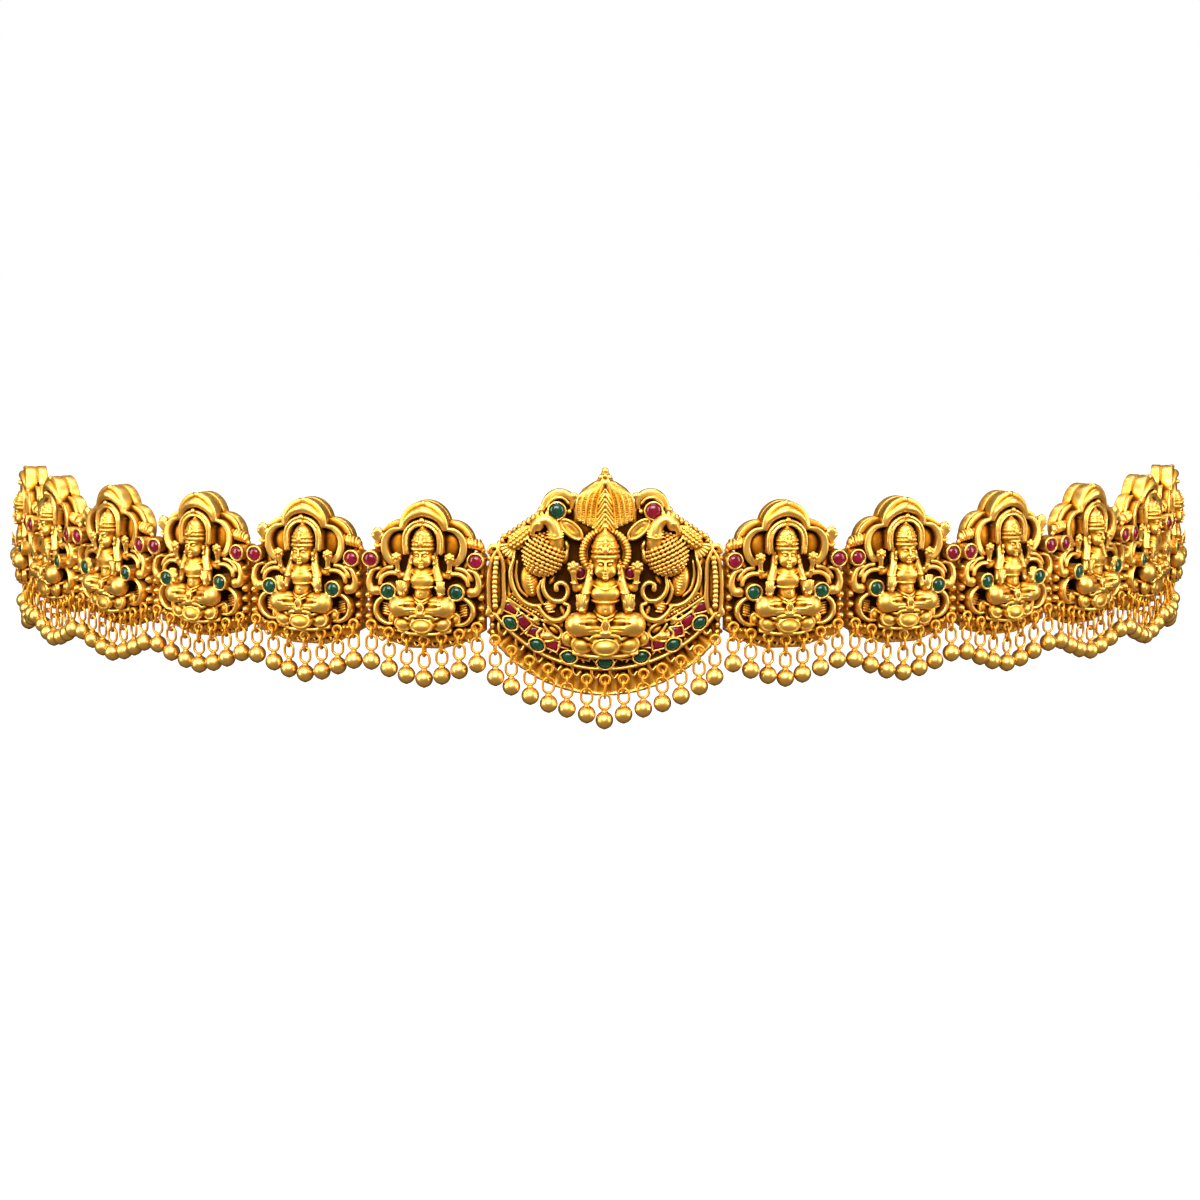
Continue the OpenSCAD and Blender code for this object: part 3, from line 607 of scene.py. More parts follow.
def side_outline(inset):
    edge = PITCH / 2 - EDGE_GAP - inset

    def fn(x, z):
        ax = np.abs(x)
        disc = lambda cx, cz, r: np.sqrt((ax - cx) ** 2 + (z - cz) ** 2) - r + inset
        out = np.minimum(disc(0, HOOD_Z, HOOD_R), disc(LOBE_X, LOBE_Z, LOBE_R))
        out = np.minimum(out, disc(0, HEAD_Z, HEAD_BACK_R + inset))
        for c in ((9.6, 11.7, 3.1), (8.3, 5.1, 3.2), (RUBY[0], RUBY[1], PITCH / 2 - 0.25 - RUBY[0])):
            out = np.minimum(out, disc(*c))
        low = np.maximum(-(z + 3.9 - inset), -(z + 3.9 - inset + (4 - ax) * 0.32) * 0.95)
        low = np.maximum(low, -(z + 2.3 - inset + (9 - ax) * 0.6) * 0.857)
        return np.minimum(out, np.maximum(np.maximum(ax - edge, z - 17), low))

    return fn


def side_field(step):
    F = Field((-14.9, -0.5, -4.7), (14.9, 11.2, 31.2), step)
    lo, hi = (-14, -4.2), (14, 30.4)
    F.slab(side_outline(0.0), lo, hi, 0, 2.35, 0.25)
    F.slab(side_outline(0.55), lo, hi, 2.0, 3.0, 0.1)
    F.slab(side_outline(0.08), lo, hi, 2.75, 3.35, 0.15)
    # dotted seam between the two layers
    for cx, cz, r, a0, a1 in ((0, HOOD_Z, HOOD_R - 0.35, 20, 160),
                              (-LOBE_X, LOBE_Z, LOBE_R - 0.35, 100, 215),
                              (LOBE_X, LOBE_Z, LOBE_R - 0.35, -35, 80)):
        for t in np.radians(np.arange(a0, a1, 5.5)):
            F.ball((cx + r * math.cos(t), 2.55, cz + r * math.sin(t)), 0.26, 0.0)
    # hood
    def hood(x, z):
        outer = np.sqrt(x ** 2 + (z - HOOD_Z) ** 2) - HOOD_R
        ogee = np.maximum(np.sqrt((x - 0.9) ** 2 + (z - 20.7) ** 2),
                          np.sqrt((x + 0.9) ** 2 + (z - 20.7) ** 2)) - 5.95
        return np.maximum(np.maximum(outer, -ogee), 23.4 - z)

    F.slab(hood, (-5.7, 23.2), (5.7, 30.1), 3.0, 5.6, 0.35)
    F.line(lift(arc(0, 24.3, 5.3, 5, 175, 28), 5.1), 0.34, 0.12)
    F.line(lift(arc(0, 24.3, 5.0, 12, 168, 28), 5.75), 0.1, 0.03, cut=True)
    brow = smooth_path(bow((4.75, 5.2, 23.8), (3.95, 5.5, 25.7), (2.2, 5.7, 27.1), (0, 5.8, 27.75)))
    F.line(brow, taper(brow, [0, 0.5, 1], [0.4, 1.25, 0.4]), 0.35)
    F.ball((0, 5.3, 29.6), 0.62, 0.1)
    F.ball((-1.0, 5.0, 29.75), 0.34, 0.1)
    F.ball((1.0, 5.0, 29.75), 0.34, 0.1)
    # halo of two wires, the outer one a rope
    for r, wire, tw, d in ((4.42, 0.42, 0.5, 6.1), (3.65, 0.32, 0, 6.2)):
        path = [(-r + 0.25, d, 18.3), (-r, d, 20.0)] + lift(arc(0, HALO_Z, r, 180, 0, 24), d)
        path += [(r, d, 20.0), (r - 0.25, d, 18.3)]
        F.line(path, wire, 0.1, twist=tw)

        def rim(x, z):
            out = np.where(z > HALO_Z, np.sqrt(x ** 2 + (z - HALO_Z) ** 2), np.abs(x))
            return np.maximum(np.abs(out - r) - wire * 0.8, 18.3 - z)

        F.slab(rim, (-r - 0.5, 18.2), (r + 0.5, HALO_Z + r + 0.5), 3.0, 5.8, 0.1)
    F.ball((0, 6.7, 25.8), 0.66, 0.08)
    for F.side in (-1, 1):
        # upper lobes: wide rolled rims round a smooth dish
        pts = smooth_path([(5.3, 23.7), (7.2, 23.2), (8.6, 21.7), (9.1, 19.7), (8.6, 17.6), (7.5, 16.2),
                           (6.6, 15.9)])
        w = taper(pts, [0, 0.3, 0.55, 0.8, 1], [0.35, 0.6, 0.8, 0.78, 0.45])
        F.band(pts, w, 3.0, 5.4, 0.4)
        F.wire([(5.3, 23.9), (7.4, 23.6), (9.1, 22.1), (9.75, 19.7), (9.2, 17.2), (7.9, 15.8)], 5.15, 0.3,
               0.15)
        F.egg((6.2, 3.2, 19.9), (2.3, 1.1, 3.0), blend=0.2)
        # round settings
        bezel(F, RUBY[0], RUBY[1], BEZEL_R, 2.1, RUBY_D)
        bezel(F, EMERALD[0], EMERALD[1], BEZEL_R, 2.0, EMERALD_D)
        F.hoop(EMERALD[0], 5.9, EMERALD[1], 1.5, 0.28)
        F.hoop(RUBY[0], 4.9, RUBY[1], 1.5, 0.3)
        # middle scrolls: outer roll with a bowl end, and a cap of two leaves over the emerald
        pts = smooth_path([(10.4, 14.7), (11.8, 14.2), (12.6, 12.7), (12.7, 11.0), (12.0, 9.6), (10.9, 9.4)])
        w = taper(pts, [0, 0.4, 0.75, 1], [0.35, 0.6, 0.85, 0.9])
        F.band(pts, w, 3.0, 6.0, 0.45)
        F.egg((11.1, 5.5, 9.6), (1.25, 0.95, 1.1), blend=0.2)
        F.wire([(10.3, 11.0), (9.9, 12.4), (8.7, 13.4), (7.3, 13.7), (6.2, 13.5)], 5.2,
               [0.3] + [0.52] * 23 + [0.25], 0.15)
        F.wire([(11.1, 12.2), (10.2, 13.7), (8.8, 14.7), (7.2, 14.9)], 4.8, [0.25] + [0.48] * 17 + [0.2],
               0.15)
        # lower scrolls round a textured leaf
        pts = smooth_path([(7.3, 8.3), (9.3, 8.1), (10.8, 6.9), (11.3, 5.1), (10.6, 3.3), (9.0, 2.2),
                           (7.4, 2.1)])
        w = taper(pts, [0, 0.3, 0.6, 1], [0.4, 0.55, 0.6, 0.35])
        F.band(pts, w, 3.0, 5.9, 0.4)
        F.line(lift(pts, 5.7), 0.3, 0.2)
        F.egg((9.0, 3.6, 5.2), (1.2, 1.0, 1.9), turn=10, blend=0.1)
        for i in range(5):
            F.line([(8.2, 4.6, 3.9 + 0.6 * i), (9.8, 4.6, 4.3 + 0.6 * i)], 0.16, 0.05)
        # drum pegs on the side edges
        for z, r in ((1.2, 0.85), (3.5, 1.05), (6.0, 1.0), (8.4, 1.05), (11.0, 0.95), (13.2, 0.8)):
            F.line([(12.6, 0.8, z), (13.1, 4.3, z)], [r, r * 0.85], 0.08)
            F.ball((13.2, 4.8, z), r * 0.62, 0.08)
    # bars that close the gaps at the ruby settings, knob at the outer edge and roll at the inner edge
    for F.side in (-1, 1):
        F.line([(10.2, 3.2, 17.2), (9.4, 3.6, 15.2)], 0.6, 0.15)
    F.line([(10.9, 3.2, 18.6), (10.9, 3.4, 20.6)], [0.95, 0.8], 0.12)
    F.line([(10.9, 3.4, 20.4), (10.9, 3.5, 22.4)], [0.6, 1.2], 0.15)
    for t in np.radians((-60, -36, -12, 12, 36, 60)):
        F.line([(10.9, 4.1, 20.2), (10.9 + 1.25 * math.sin(t), 4.4, 20.7 + 2.5 * math.cos(t))], [0.24, 0.44],
               0.05)
        F.ball((10.9 + 1.35 * math.sin(t), 4.2, 20.9 + 2.75 * math.cos(t)), 0.4, 0.05)
    F.line(lift(arc(10.9, 20.4, 0.85, -150, -30, 8), 4.3), 0.34, 0.05)
    F.line([(-12.5, 3.2, 19.8), (-11.0, 3.5, 20.3), (-9.7, 3.6, 20.5)], [1.1, 1.15, 1.2], 0.12)
    for i in range(5):
        q = -12.7 + 0.8 * i
        F.line([(q + 1.25 * math.sin(a) * 0.1, 3.4 + 1.25 * math.cos(a),
                 20.05 + 0.12 * i + 1.25 * math.sin(a)) for a in np.linspace(-0.6, 3.7, 12)], 0.24, 0.05)
    F.ball((-13.3, 3.2, 18.9), 0.6, 0.1)
    figure(F)
    # lip and small curled wires behind the fringe
    F.slab(lambda x, z: np.maximum(np.abs(x) - 12.3, np.abs(z + 0.4 + (np.abs(x) - 7) * -0.12) - 1.3),
           (-12.5, -3), (12.5, 1.6), 1.8, 4.2, 0.4, 0.2)
    for i in range(-3, 3):
        x = DROP_PITCH * (i + 0.5)
        z = -2.0 + 0.12 * abs(x) ** 1.1
        F.curve([(x - 1.3, 3.9, z + 1.9), (x - 1.0, 4.1, z - 0.4), (x - 0.1, 4.0, z - 1.5),
                 (x + 0.8, 3.7, z - 0.7), (x + 0.6, 3.5, z + 0.5)], 0.36, 0.1)
        F.line([(x + 1.25, 3.9, z + 2.0), (x + 1.35, 4.1, z - 0.5)], 0.32, 0.1)
        F.line([(x - 2.0, 3.3, z + 0.4), (x - 2.05, 3.3, z - 1.2)], 0.36, 0.1)
    for i in range(-8, 9):
        F.line([(1.05 * i, 3.1, -1.2), (1.05 * i, 3.1, -3.6 + 0.3 * max(abs(1.05 * i) - 4, 0))], 0.26, 0.06,
               twist=0.7)
    for i in range(-12, 13):
        F.ball((i, 4.15, 0.25 + 0.1 * max(abs(i) - 7, 0)), 0.42, 0.08)
    return F


# The centre piece, with height 0 at the bottom of its crescent
def planes(ax, z, table):
    """Signed distance of a shape bounded by lines, each (across, up, point across, point up)."""
    out = -99.0
    for nx, nz, px, pz in table:
        out = np.maximum(out, nx * (ax - px) + nz * (z - pz))
    return out


def tent(x, z):
    ax = np.abs(x)
    top = planes(ax, z, ((0.42, 0.9, 0, 43.6), (0.56, 0.83, 2.8, 42.3), (0.81, 0.585, 5.0, 40.8),
                         (0.94, 0.34, 6.3, 39.0), (1, 0, 7.15, 0)))
    return np.maximum(top, 30.4 - z)


def centre_outline(inset):
    def fn(x, z):
        ax = np.abs(x)
        out = np.sqrt(x ** 2 + (z - CRESCENT_R) ** 2) - CRESCENT_R
        out = np.maximum(out, planes(ax, z,
                                     ((1, 0, 26.0, 0), (0.783, 0.623, 25.7, 26.6),
                                      (0.594, 0.804, 21.6, 30.9))))
        top = np.minimum(tent(x, z), np.sqrt((ax - TOP_STONE[0]) ** 2 + (z - 36.9) ** 2) - 3.4)
        return np.maximum(out, np.minimum(top, z - 37.6)) + inset

    return fn


def spot(x, z, turn, u, w):
    """Local coordinates round (x, z), turned by an angle in degrees."""
    c, s = math.cos(math.radians(turn)), math.sin(math.radians(turn))
    return x + u * c - w * s, z + u * s + w * c


def marquise(x, z, turn, long, tall):
    """Signed distance of a pointed oval."""
    rho = (long * long + tall * tall) / (2 * tall)
    c, s = math.cos(math.radians(turn)), math.sin(math.radians(turn))

    def fn(a, b):
        u = (a - x) * c + (b - z) * s
        w = (b - z) * c - (a - x) * s
        return np.maximum(np.sqrt(u ** 2 + (w + rho - tall) ** 2),
                          np.sqrt(u ** 2 + (w - rho + tall) ** 2)) - rho

    return fn


def box_fn(x, z, turn, long, tall):
    """Signed distance of a turned rectangle."""
    c, s = math.cos(math.radians(turn)), math.sin(math.radians(turn))
    return lambda a, b: np.maximum(np.abs((a - x) * c + (b - z) * s) - long,
                                   np.abs((b - z) * c - (a - x) * s) - tall)


def pointed_path(x, z, turn, long, tall, n=9):
    rho = (long * long + tall * tall) / (2 * tall)
    a = np.linspace(-1, 1, n) * math.asin(long / rho)
    top = [(rho * math.sin(t), rho * math.cos(t) - rho + tall) for t in a]
    return [spot(x, z, turn, u, w) for u, w in top + [(-u, -w) for u, w in top]]


def scroll(F, pts, r, d):
    """A raised scroll: a strip that stands on the plate, with a wire along its top."""
    P = smooth_path(pts)
    w = taper(P, np.linspace(0, 1, len(r)), r)
    F.band(P, w * 0.8, 3.0, d, 0.12, 0.06)
    F.line(lift(P, d - 0.1), list(w), 0.1)


def peacock(F):
    cx, cd, cz = 13.9, 4.6, 26.4
    rx, rd, rz = 4.7, 4.2, 4.8
    F.egg((cx, cd, cz), (rx - 0.35, rd - 0.3, rz - 0.35), blend=0.1)
    for i, u in enumerate(np.radians(np.arange(-72, 76, 11.5))):
        count = max(int(round(13 * math.cos(u))), 3)
        row = (np.arange(count) - (count - 1) / 2 + (i % 2) * 0.5) * 13.5 / max(math.cos(u), 0.4)
        for v in np.radians(row):
            if abs(v) > 1.35:
                continue
            a, b = F.side * rx * math.sin(v) * math.cos(u), rz * math.sin(u)
            t = 0.45
            F.egg((cx + a * math.cos(t) - b * math.sin(t), cd + rd * math.cos(v) * math.cos(u) - 0.1,
                   cz + a * math.sin(t) + b * math.cos(t)),
                  (0.56, 0.5, 0.42), turn=math.degrees(t), blend=0.04)
    # neck, head and beak
    neck = smooth_path([(11.3, 6.0, 29.2), (11.2, 6.7, 31.6), (11.9, 6.9, 33.6), (13.4, 7.0, 34.6),
                        (14.9, 7.0, 34.2)])
    F.line(neck, taper(neck, [0, 0.4, 0.75, 1], [2.0, 1.5, 1.15, 1.2]), 0.3)
    F.egg((15.2, 7.0, 33.5), (1.45, 1.35, 1.55), turn=-20, blend=0.3)
    F.line([(15.9, 7.2, 32.9), (16.4, 7.1, 31.7), (15.8, 7.0, 30.9)], [0.8, 0.5, 0.22], 0.15)
    F.ball((15.2, 8.2, 33.8), 0.45, 0.0)
    F.hoop(15.2, 8.15, 33.8, 0.68, 0.13, 0.04, n=13)
    for i in range(3):
        F.line([(13.2 + 0.9 * i, 6.9, 35.4 - 0.15 * i), (13.0 + 1.2 * i, 6.8, 36.1 - 0.15 * i)],
               [0.35, 0.45], 0.1)
    for i in range(3):
        q = 30.4 + 0.6 * i
        F.line([(9.4, 7.4 - 0.12 * i, q + 0.4), (11.3, 8.55 - 0.2 * i, q), (13.0, 7.6 - 0.3 * i, q + 0.3)],
               0.22, 0.05, twist=0.4)
    F.ball((12.5, 5.4, 36.2), 0.75, 0.1)
    # scaled wing, with a fan of feathers below it
    F.egg((19.0, 4.5, 30.3), (3.5, 1.9, 2.1), turn=-38, blend=0.15)
    for i in range(-3, 4):
        for j in range(-2, 3):
            u, w = i * 0.92 + (j % 2) * 0.46, j * 0.82
            k = 1 - (u / 3.5) ** 2 - (w / 2.1) ** 2
            if k > 0.06:
                a, b = spot(19.0, 30.3, -38, u, w)
                F.egg((a, 4.5 + 1.9 * math.sqrt(k), b), (0.45, 0.36, 0.38), turn=-38, blend=0.04)
    F.egg((17.3, 4.2, 31.9), (1.5, 1.2, 0.9), turn=-30, blend=0.15)
    for i in range(6):
        t = math.radians(-82 + 15 * i)
        a, b = 20.1, 28.9
        F.line([(a + 0.6 * math.cos(t), 4.6, b + 0.6 * math.sin(t)),
                (a + 3.3 * math.cos(t), 4.9, b + 3.3 * math.sin(t))], [0.28, 0.42], 0.06)
    F.line(lift(arc(20.1, 28.9, 1.1, -90, 0, 9), 5.1), 0.2, 0.05)
    F.ball((22.6, 4.6, 30.6), 0.72, 0.1)
    F.line([(21.4, 4.4, 30.4), (22.6, 4.4, 30.6)], 0.45, 0.1)
    F.hoop(17.4, 6.3, 29.6, 0.62, 0.2, 0.05, n=13)


def shoulder(F):
    """Small feathers that overlap along the sloping edge behind the peacock."""
    for (xa, za), (xb, zb), n in (((15.0, 35.2), (21.4, 30.9), 7), ((22.2, 30.3), (25.2, 26.9), 5)):
        lean = math.degrees(math.atan2(zb - za, xb - xa))
        for i in range(n):
            t = i / (n - 1)
            x, z = xa + (xb - xa) * t, za + (zb - za) * t
            F.egg((x, 3.3, z), (0.62, 1.1, 0.95), turn=lean + 20, blend=0.08)
            F.egg((x - 0.75, 3.5, z - 0.85), (0.55, 1.2, 0.8), turn=lean + 20, blend=0.08)


def centre_sides(F):
    shoulder(F)
    # ear leaf beside the crest
    turn = 42
    F.egg((7.6, 4.9, 32.2), (3.1, 1.0, 1.45), turn=turn, blend=0.1)
    F.egg((7.7, 6.3, 32.3), (2.3, 0.75, 0.85), turn=turn, blend=0.15, cut=True)
    rim = [spot(7.6, 32.2, turn, 3.0 * math.cos(t), 1.35 * math.sin(t)) for t in np.linspace(0, 2 * math.pi,
            25)]
    F.line(lift(rim, 5.7), 0.34, 0.08)
    for w in (-0.45, 0, 0.45):
        F.line(lift([spot(7.6, 32.2, turn, u, w + 0.25 * (1 - u * u / 4)) for u in (-1.8, -0.6, 0.6, 1.8)],
                    5.55), 0.15, 0.04)
    # round stone in its swirl
    x, z = TOP_STONE
    bezel(F, x, z, TOP_BEZEL_R, 1.6, TOP_STONE_D)
    pts = smooth_path([(7.5, 37.0), (7.4, 38.7), (8.7, 40.0), (10.7, 40.3), (12.6, 39.3), (13.7, 37.6),
                       (14.0, 36.2)])
    w = taper(pts, [0, 0.25, 0.6, 1], [0.45, 0.85, 0.95, 0.55])
    F.band(pts, w, 2.6, 5.0, 0.5)
    F.wire([(8.2, 38.0), (9.2, 39.1), (10.8, 39.4), (12.3, 38.6), (13.1, 37.3)], 5.3, 0.3, 0.12)
    F.ball((6.9, 4.4, 39.7), 0.78, 0.12)
    F.ball((14.4, 4.4, 36.5), 0.8, 0.12)
    F.ball((8.1, 4.9, 36.2), 0.55, 0.1)
    # pod at the joint, with a row of beads
    pod = smooth_path([(24.2, 27.4), (24.4, 24.6), (24.6, 20.5), (24.5, 16.8), (24.8, 13.4)])
    w = taper(pod, [0, 0.15, 0.45, 0.8, 1], [0.3, 1.3, 2.0, 1.8, 1.0])
    F.band(pod, w, 1.6, 4.3, 0.9)
    F.line(lift(pod, 3.6), list(w * 0.85), 0.3)
    F.beads(lift([(24.4, 25.6), (24.8, 22), (24.9, 18.5), (24.8, 14.8)], 5.5), 0.66, 1.06, 0.05)
    for x_off, top_d in ((-1.75, 4.9), (1.6, 4.6)):
        edge = smooth_path([(24.2, 27.7), (24.45 + 0.8 * x_off, 24.6), (24.65 + x_off, 20.5),
                            (24.6 + x_off, 16.4), (24.8 + 0.75 * x_off, 13.2)])
        F.line(lift(edge, top_d), taper(edge, [0, 0.2, 0.8, 1], [0.3, 0.5, 0.55, 0.4]), 0.12)
    F.band(smooth_path([(22.3, 25.0), (21.7, 22.0), (21.7, 18.0), (22.2, 14.8)]), 0.4, 2.5, 4.0, 0.2)
    F.wire([(22.3, 25.0), (21.7, 22.0), (21.7, 18.0), (22.2, 14.8)], 4.1, 0.4, 0.1, twist=0.5)
    F.wire([(23.6, 14.2), (24.2, 12.8), (25.6, 12.3), (26.5, 13.0), (26.2, 13.9)], 4.5,
           [0.5] * 18 + [0.62] * 7, 0.12)
    F.wire([(23.0, 26.2), (23.7, 27.9), (25.3, 28.3), (26.1, 27.4)], 4.2, 0.58, 0.12)
    F.ball((26.0, 3.9, 27.0), 0.7, 0.1)
    for z in (25.4, 22.9, 15.6):
        F.ball((26.1, 3.0, z), 0.7, 0.1)
    F.band([(25.2, 14.2), (25.3, 7.6)], 0.85, 0.6, 2.4, 0.2)
    for z in (11.7, 10.1, 8.5):
        F.ball((25.5, 2.9, z), 0.72, 0.1)
    # open scrolls under the peacock
    scroll(F, [(20.6, 25.4), (21.3, 22.6), (20.9, 19.4), (19.2, 16.5), (16.8, 15.0), (14.6, 14.9)],
           [0.35, 0.5, 0.55, 0.5, 0.5, 0.35], 5.4)
    scroll(F, [(19.8, 24.9), (20.1, 21.6), (19.3, 18.6), (17.6, 16.9)], [0.25, 0.35, 0.35, 0.25], 4.7)
    scroll(F, [(13.7, 21.3), (14.0, 19.2), (13.2, 17.2), (11.4, 16.0), (9.4, 16.2), (8.4, 17.7), (8.7, 19.4),
               (9.9, 20.2), (11.0, 19.7), (11.0, 18.6)],
           [0.3, 0.5, 0.55, 0.55, 0.55, 0.55, 0.5, 0.5, 0.5, 0.6], 5.7)
    scroll(F, [(14.4, 20.6), (15.1, 18.6), (14.7, 16.6), (14.0, 15.2)], [0.2, 0.4, 0.4, 0.25], 5.0)
    scroll(F, [(14.9, 14.7), (13.8, 12.9), (11.8, 11.6), (9.7, 11.9), (8.3, 13.3), (8.2, 14.9), (9.2, 15.4)],
           [0.3, 0.5, 0.6, 0.65, 0.6, 0.45, 0.4], 5.8)
    F.egg((12.5, 4.2, 14.7), (1.3, 0.9, 1.9), turn=35, blend=0.1)
    for i in range(4):
        F.line([(11.5 + 0.35 * i, 5.0, 13.5 + 0.6 * i), (12.8 + 0.35 * i, 5.0, 13.3 + 0.6 * i)], 0.2, 0.05)
    # ribbed leaf inside the C scroll
    F.egg((17.0, 4.1, 20.3), (2.0, 1.4, 3.6), turn=-12, blend=0.1)
    for i in range(9):
        for q in (-1, 1):
            a, b = spot(16.9, 20.4, -10, 0, -2.8 + 0.66 * i)
            e, g = spot(16.9, 20.4, -10, q * 1.35 * math.sqrt(max(1 - ((i - 4) / 5.2) ** 2, 0)),
                        -2.8 + 0.66 * i + 0.6)
            F.line([(a, 5.6 - 0.035 * (i - 4) ** 2, b), (e, 4.8 - 0.03 * (i - 4) ** 2, g)], 0.27, 0.05)
    # small leaves that fill the ground
    for x, z, t, w, h in ((20.9, 21.0, -4, 0.5, 2.6), (12.0, 20.6, 30, 0.6, 1.2), (9.6, 13.6, -20, 0.6, 1.3),
                          (16.6, 13.0, 62, 0.5, 1.4), (19.0, 14.9, 50, 0.5, 1.2),
                          (21.6, 24.6, -15, 0.6, 1.3)):
        F.egg((x, 4.0, z), (w, 0.9, h), turn=t, blend=0.08)
        F.line(lift([spot(x, z, t, 0, u) for u in (-0.8 * h, 0, 0.8 * h)], 4.85), 0.13, 0.04)
    F.ball((15.5, 4.6, 11.6), 0.85, 0.1)
    # leaf band with beads along the crescent, then a bent leaf and a bud beside the lotus
    leaf = [(21.2, 16.9), (17.6, 14.4), (13.8, 12.1), (10.2, 10.6)]
    for off in (-0.75, 0.75):
        F.wire([spot(x, z, 27, 0, off) for x, z in leaf], 4.9, 0.26, 0.08)
    F.band(smooth_path(leaf), 0.75, 3.0, 4.6, 0.2)
    F.beads(lift([(20.9, 16.7), (17.6, 14.4), (13.8, 12.1)], 4.75), 0.33, 0.68, 0.03)
    scroll(F, [(13.6, 11.6), (10.6, 9.9), (9.8, 8.4), (10.7, 7.3), (12.6, 8.6), (13.9, 10.6)],
           [0.25, 0.4, 0.4, 0.4, 0.4, 0.25], 5.3)
    F.egg((11.6, 4.1, 9.2), (1.3, 0.7, 0.8), turn=30, blend=0.1)
    F.egg((13.1, 4.6, 7.9), (1.7, 1.2, 0.95), turn=10, blend=0.15)
    F.wire([(14.5, 9.5), (15.4, 8.5), (14.8, 7.2), (13.2, 6.6), (11.4, 6.9)], 4.9, 0.3, 0.08)
    F.wire([(22.6, 17.2), (20.2, 14.2), (17.6, 12.2), (15.0, 10.6)], 4.7, 0.3, 0.08)
    # leaves behind the raised hands
    F.egg((8.9, 4.6, 25.9), (0.7, 0.8, 1.7), turn=12, blend=0.1)
    F.egg((8.6, 4.3, 28.4), (0.6, 0.8, 1.3), turn=-15, blend=0.1)


# Marquise emeralds and ruby chips in the crescent: x, z, turn
EMERALDS_LOW = [(0, 1.75, 0)] + [
    (s * x, z, s * a) for s in (-1, 1) for x, z, a in ((8.2, 3.1, 16), (15.4, 5.9, 31), (21.4, 10.9, 46))]
RUBY_CHIPS = [(s * x, z, s * a, w, h) for s in (-1, 1) for x, z, a, w, h in (
    (21.4, 14.3, 20, 1.75, 1.05), (18.7, 11.2, 42, 1.8, 1.2), (15.9, 8.8, 14, 1.65, 1.1),
    (12.1, 5.9, 20, 1.6, 1.1), (9.2, 6.1, 5, 1.15, 0.85), (4.9, 3.6, 12, 1.5, 0.95))]
CELL_CORNERS = ((-1, -0.7), (0.9, -1), (1, 0.75), (-0.6, 1), (-1, -0.7))
NECK_RUBY = (5.7, 22.2)


def bowl(r, half, n, low=0.0):
    """Points (x, z) of an arc round the middle of the crescent, half degrees to each side."""
    return [(r * math.sin(t),
             CRESCENT_R - low - r * math.cos(t)) for t in np.radians(np.linspace(-half, half, n))]


def crescent(F):
    def ring(high, low):
        def fn(x, z):
            out = np.sqrt(x ** 2 + (z - CRESCENT_R) ** 2)
            return np.maximum(np.maximum(out - high, low - out), z - 13.4)

        return fn

    F.slab(ring(CRESCENT_R, CRESCENT_R - 0.8), (-26, -0.2), (26, 13.6), 2.2, 5.3, 0.2)
    F.slab(ring(CRESCENT_R - 0.4, 26.2), (-26, -0.2), (26, 13.6), 2.6, 3.9, 0.1)
    F.line(lift(bowl(CRESCENT_R - 0.35, 54, 90), 5.35), 0.36, 0.05, twist=0.55)
    F.line(lift(bowl(26.3, 52, 60), 4.6), 0.24, 0.05)
    for x, z, a in EMERALDS_LOW:
        F.slab(marquise(x, z, a, 2.2, 1.66), (x - 2.4, z - 2.4), (x + 2.4, z + 2.4), 3.0, 5.4, 0.15)
        F.line(lift(pointed_path(x, z, a, 2.02, 1.5), 5.5), 0.24, 0.05)
        F.slab(marquise(x, z, a, 1.82, 1.32), (x - 2.2, z - 2.2), (x + 2.2, z + 2.2), 4.7, 7, 0.05, cut=True)
    for x, z, a, w, h in RUBY_CHIPS:
        cell = [spot(x, z, a, u * (w + 0.25), v * (h + 0.25)) for u, v in CELL_CORNERS]
        F.line(lift(cell, 4.9), 0.2, 0.05)
        F.slab(box_fn(x, z, a, w + 0.2, h + 0.2), (x - w - 1, z - w - 1), (x + w + 1, z + w + 1), 3.0, 4.2,
               0.1)
    for F.side in (-1, 1):
        for x, z in ((3.0, 1.5), (5.6, 1.6), (11.6, 3.5), (18.2, 7.6)):
            F.wire([(x - 0.8, z + 0.2), (x, z + 1.1), (x + 0.9, z + 0.6)], 4.7, 0.2, 0.05)


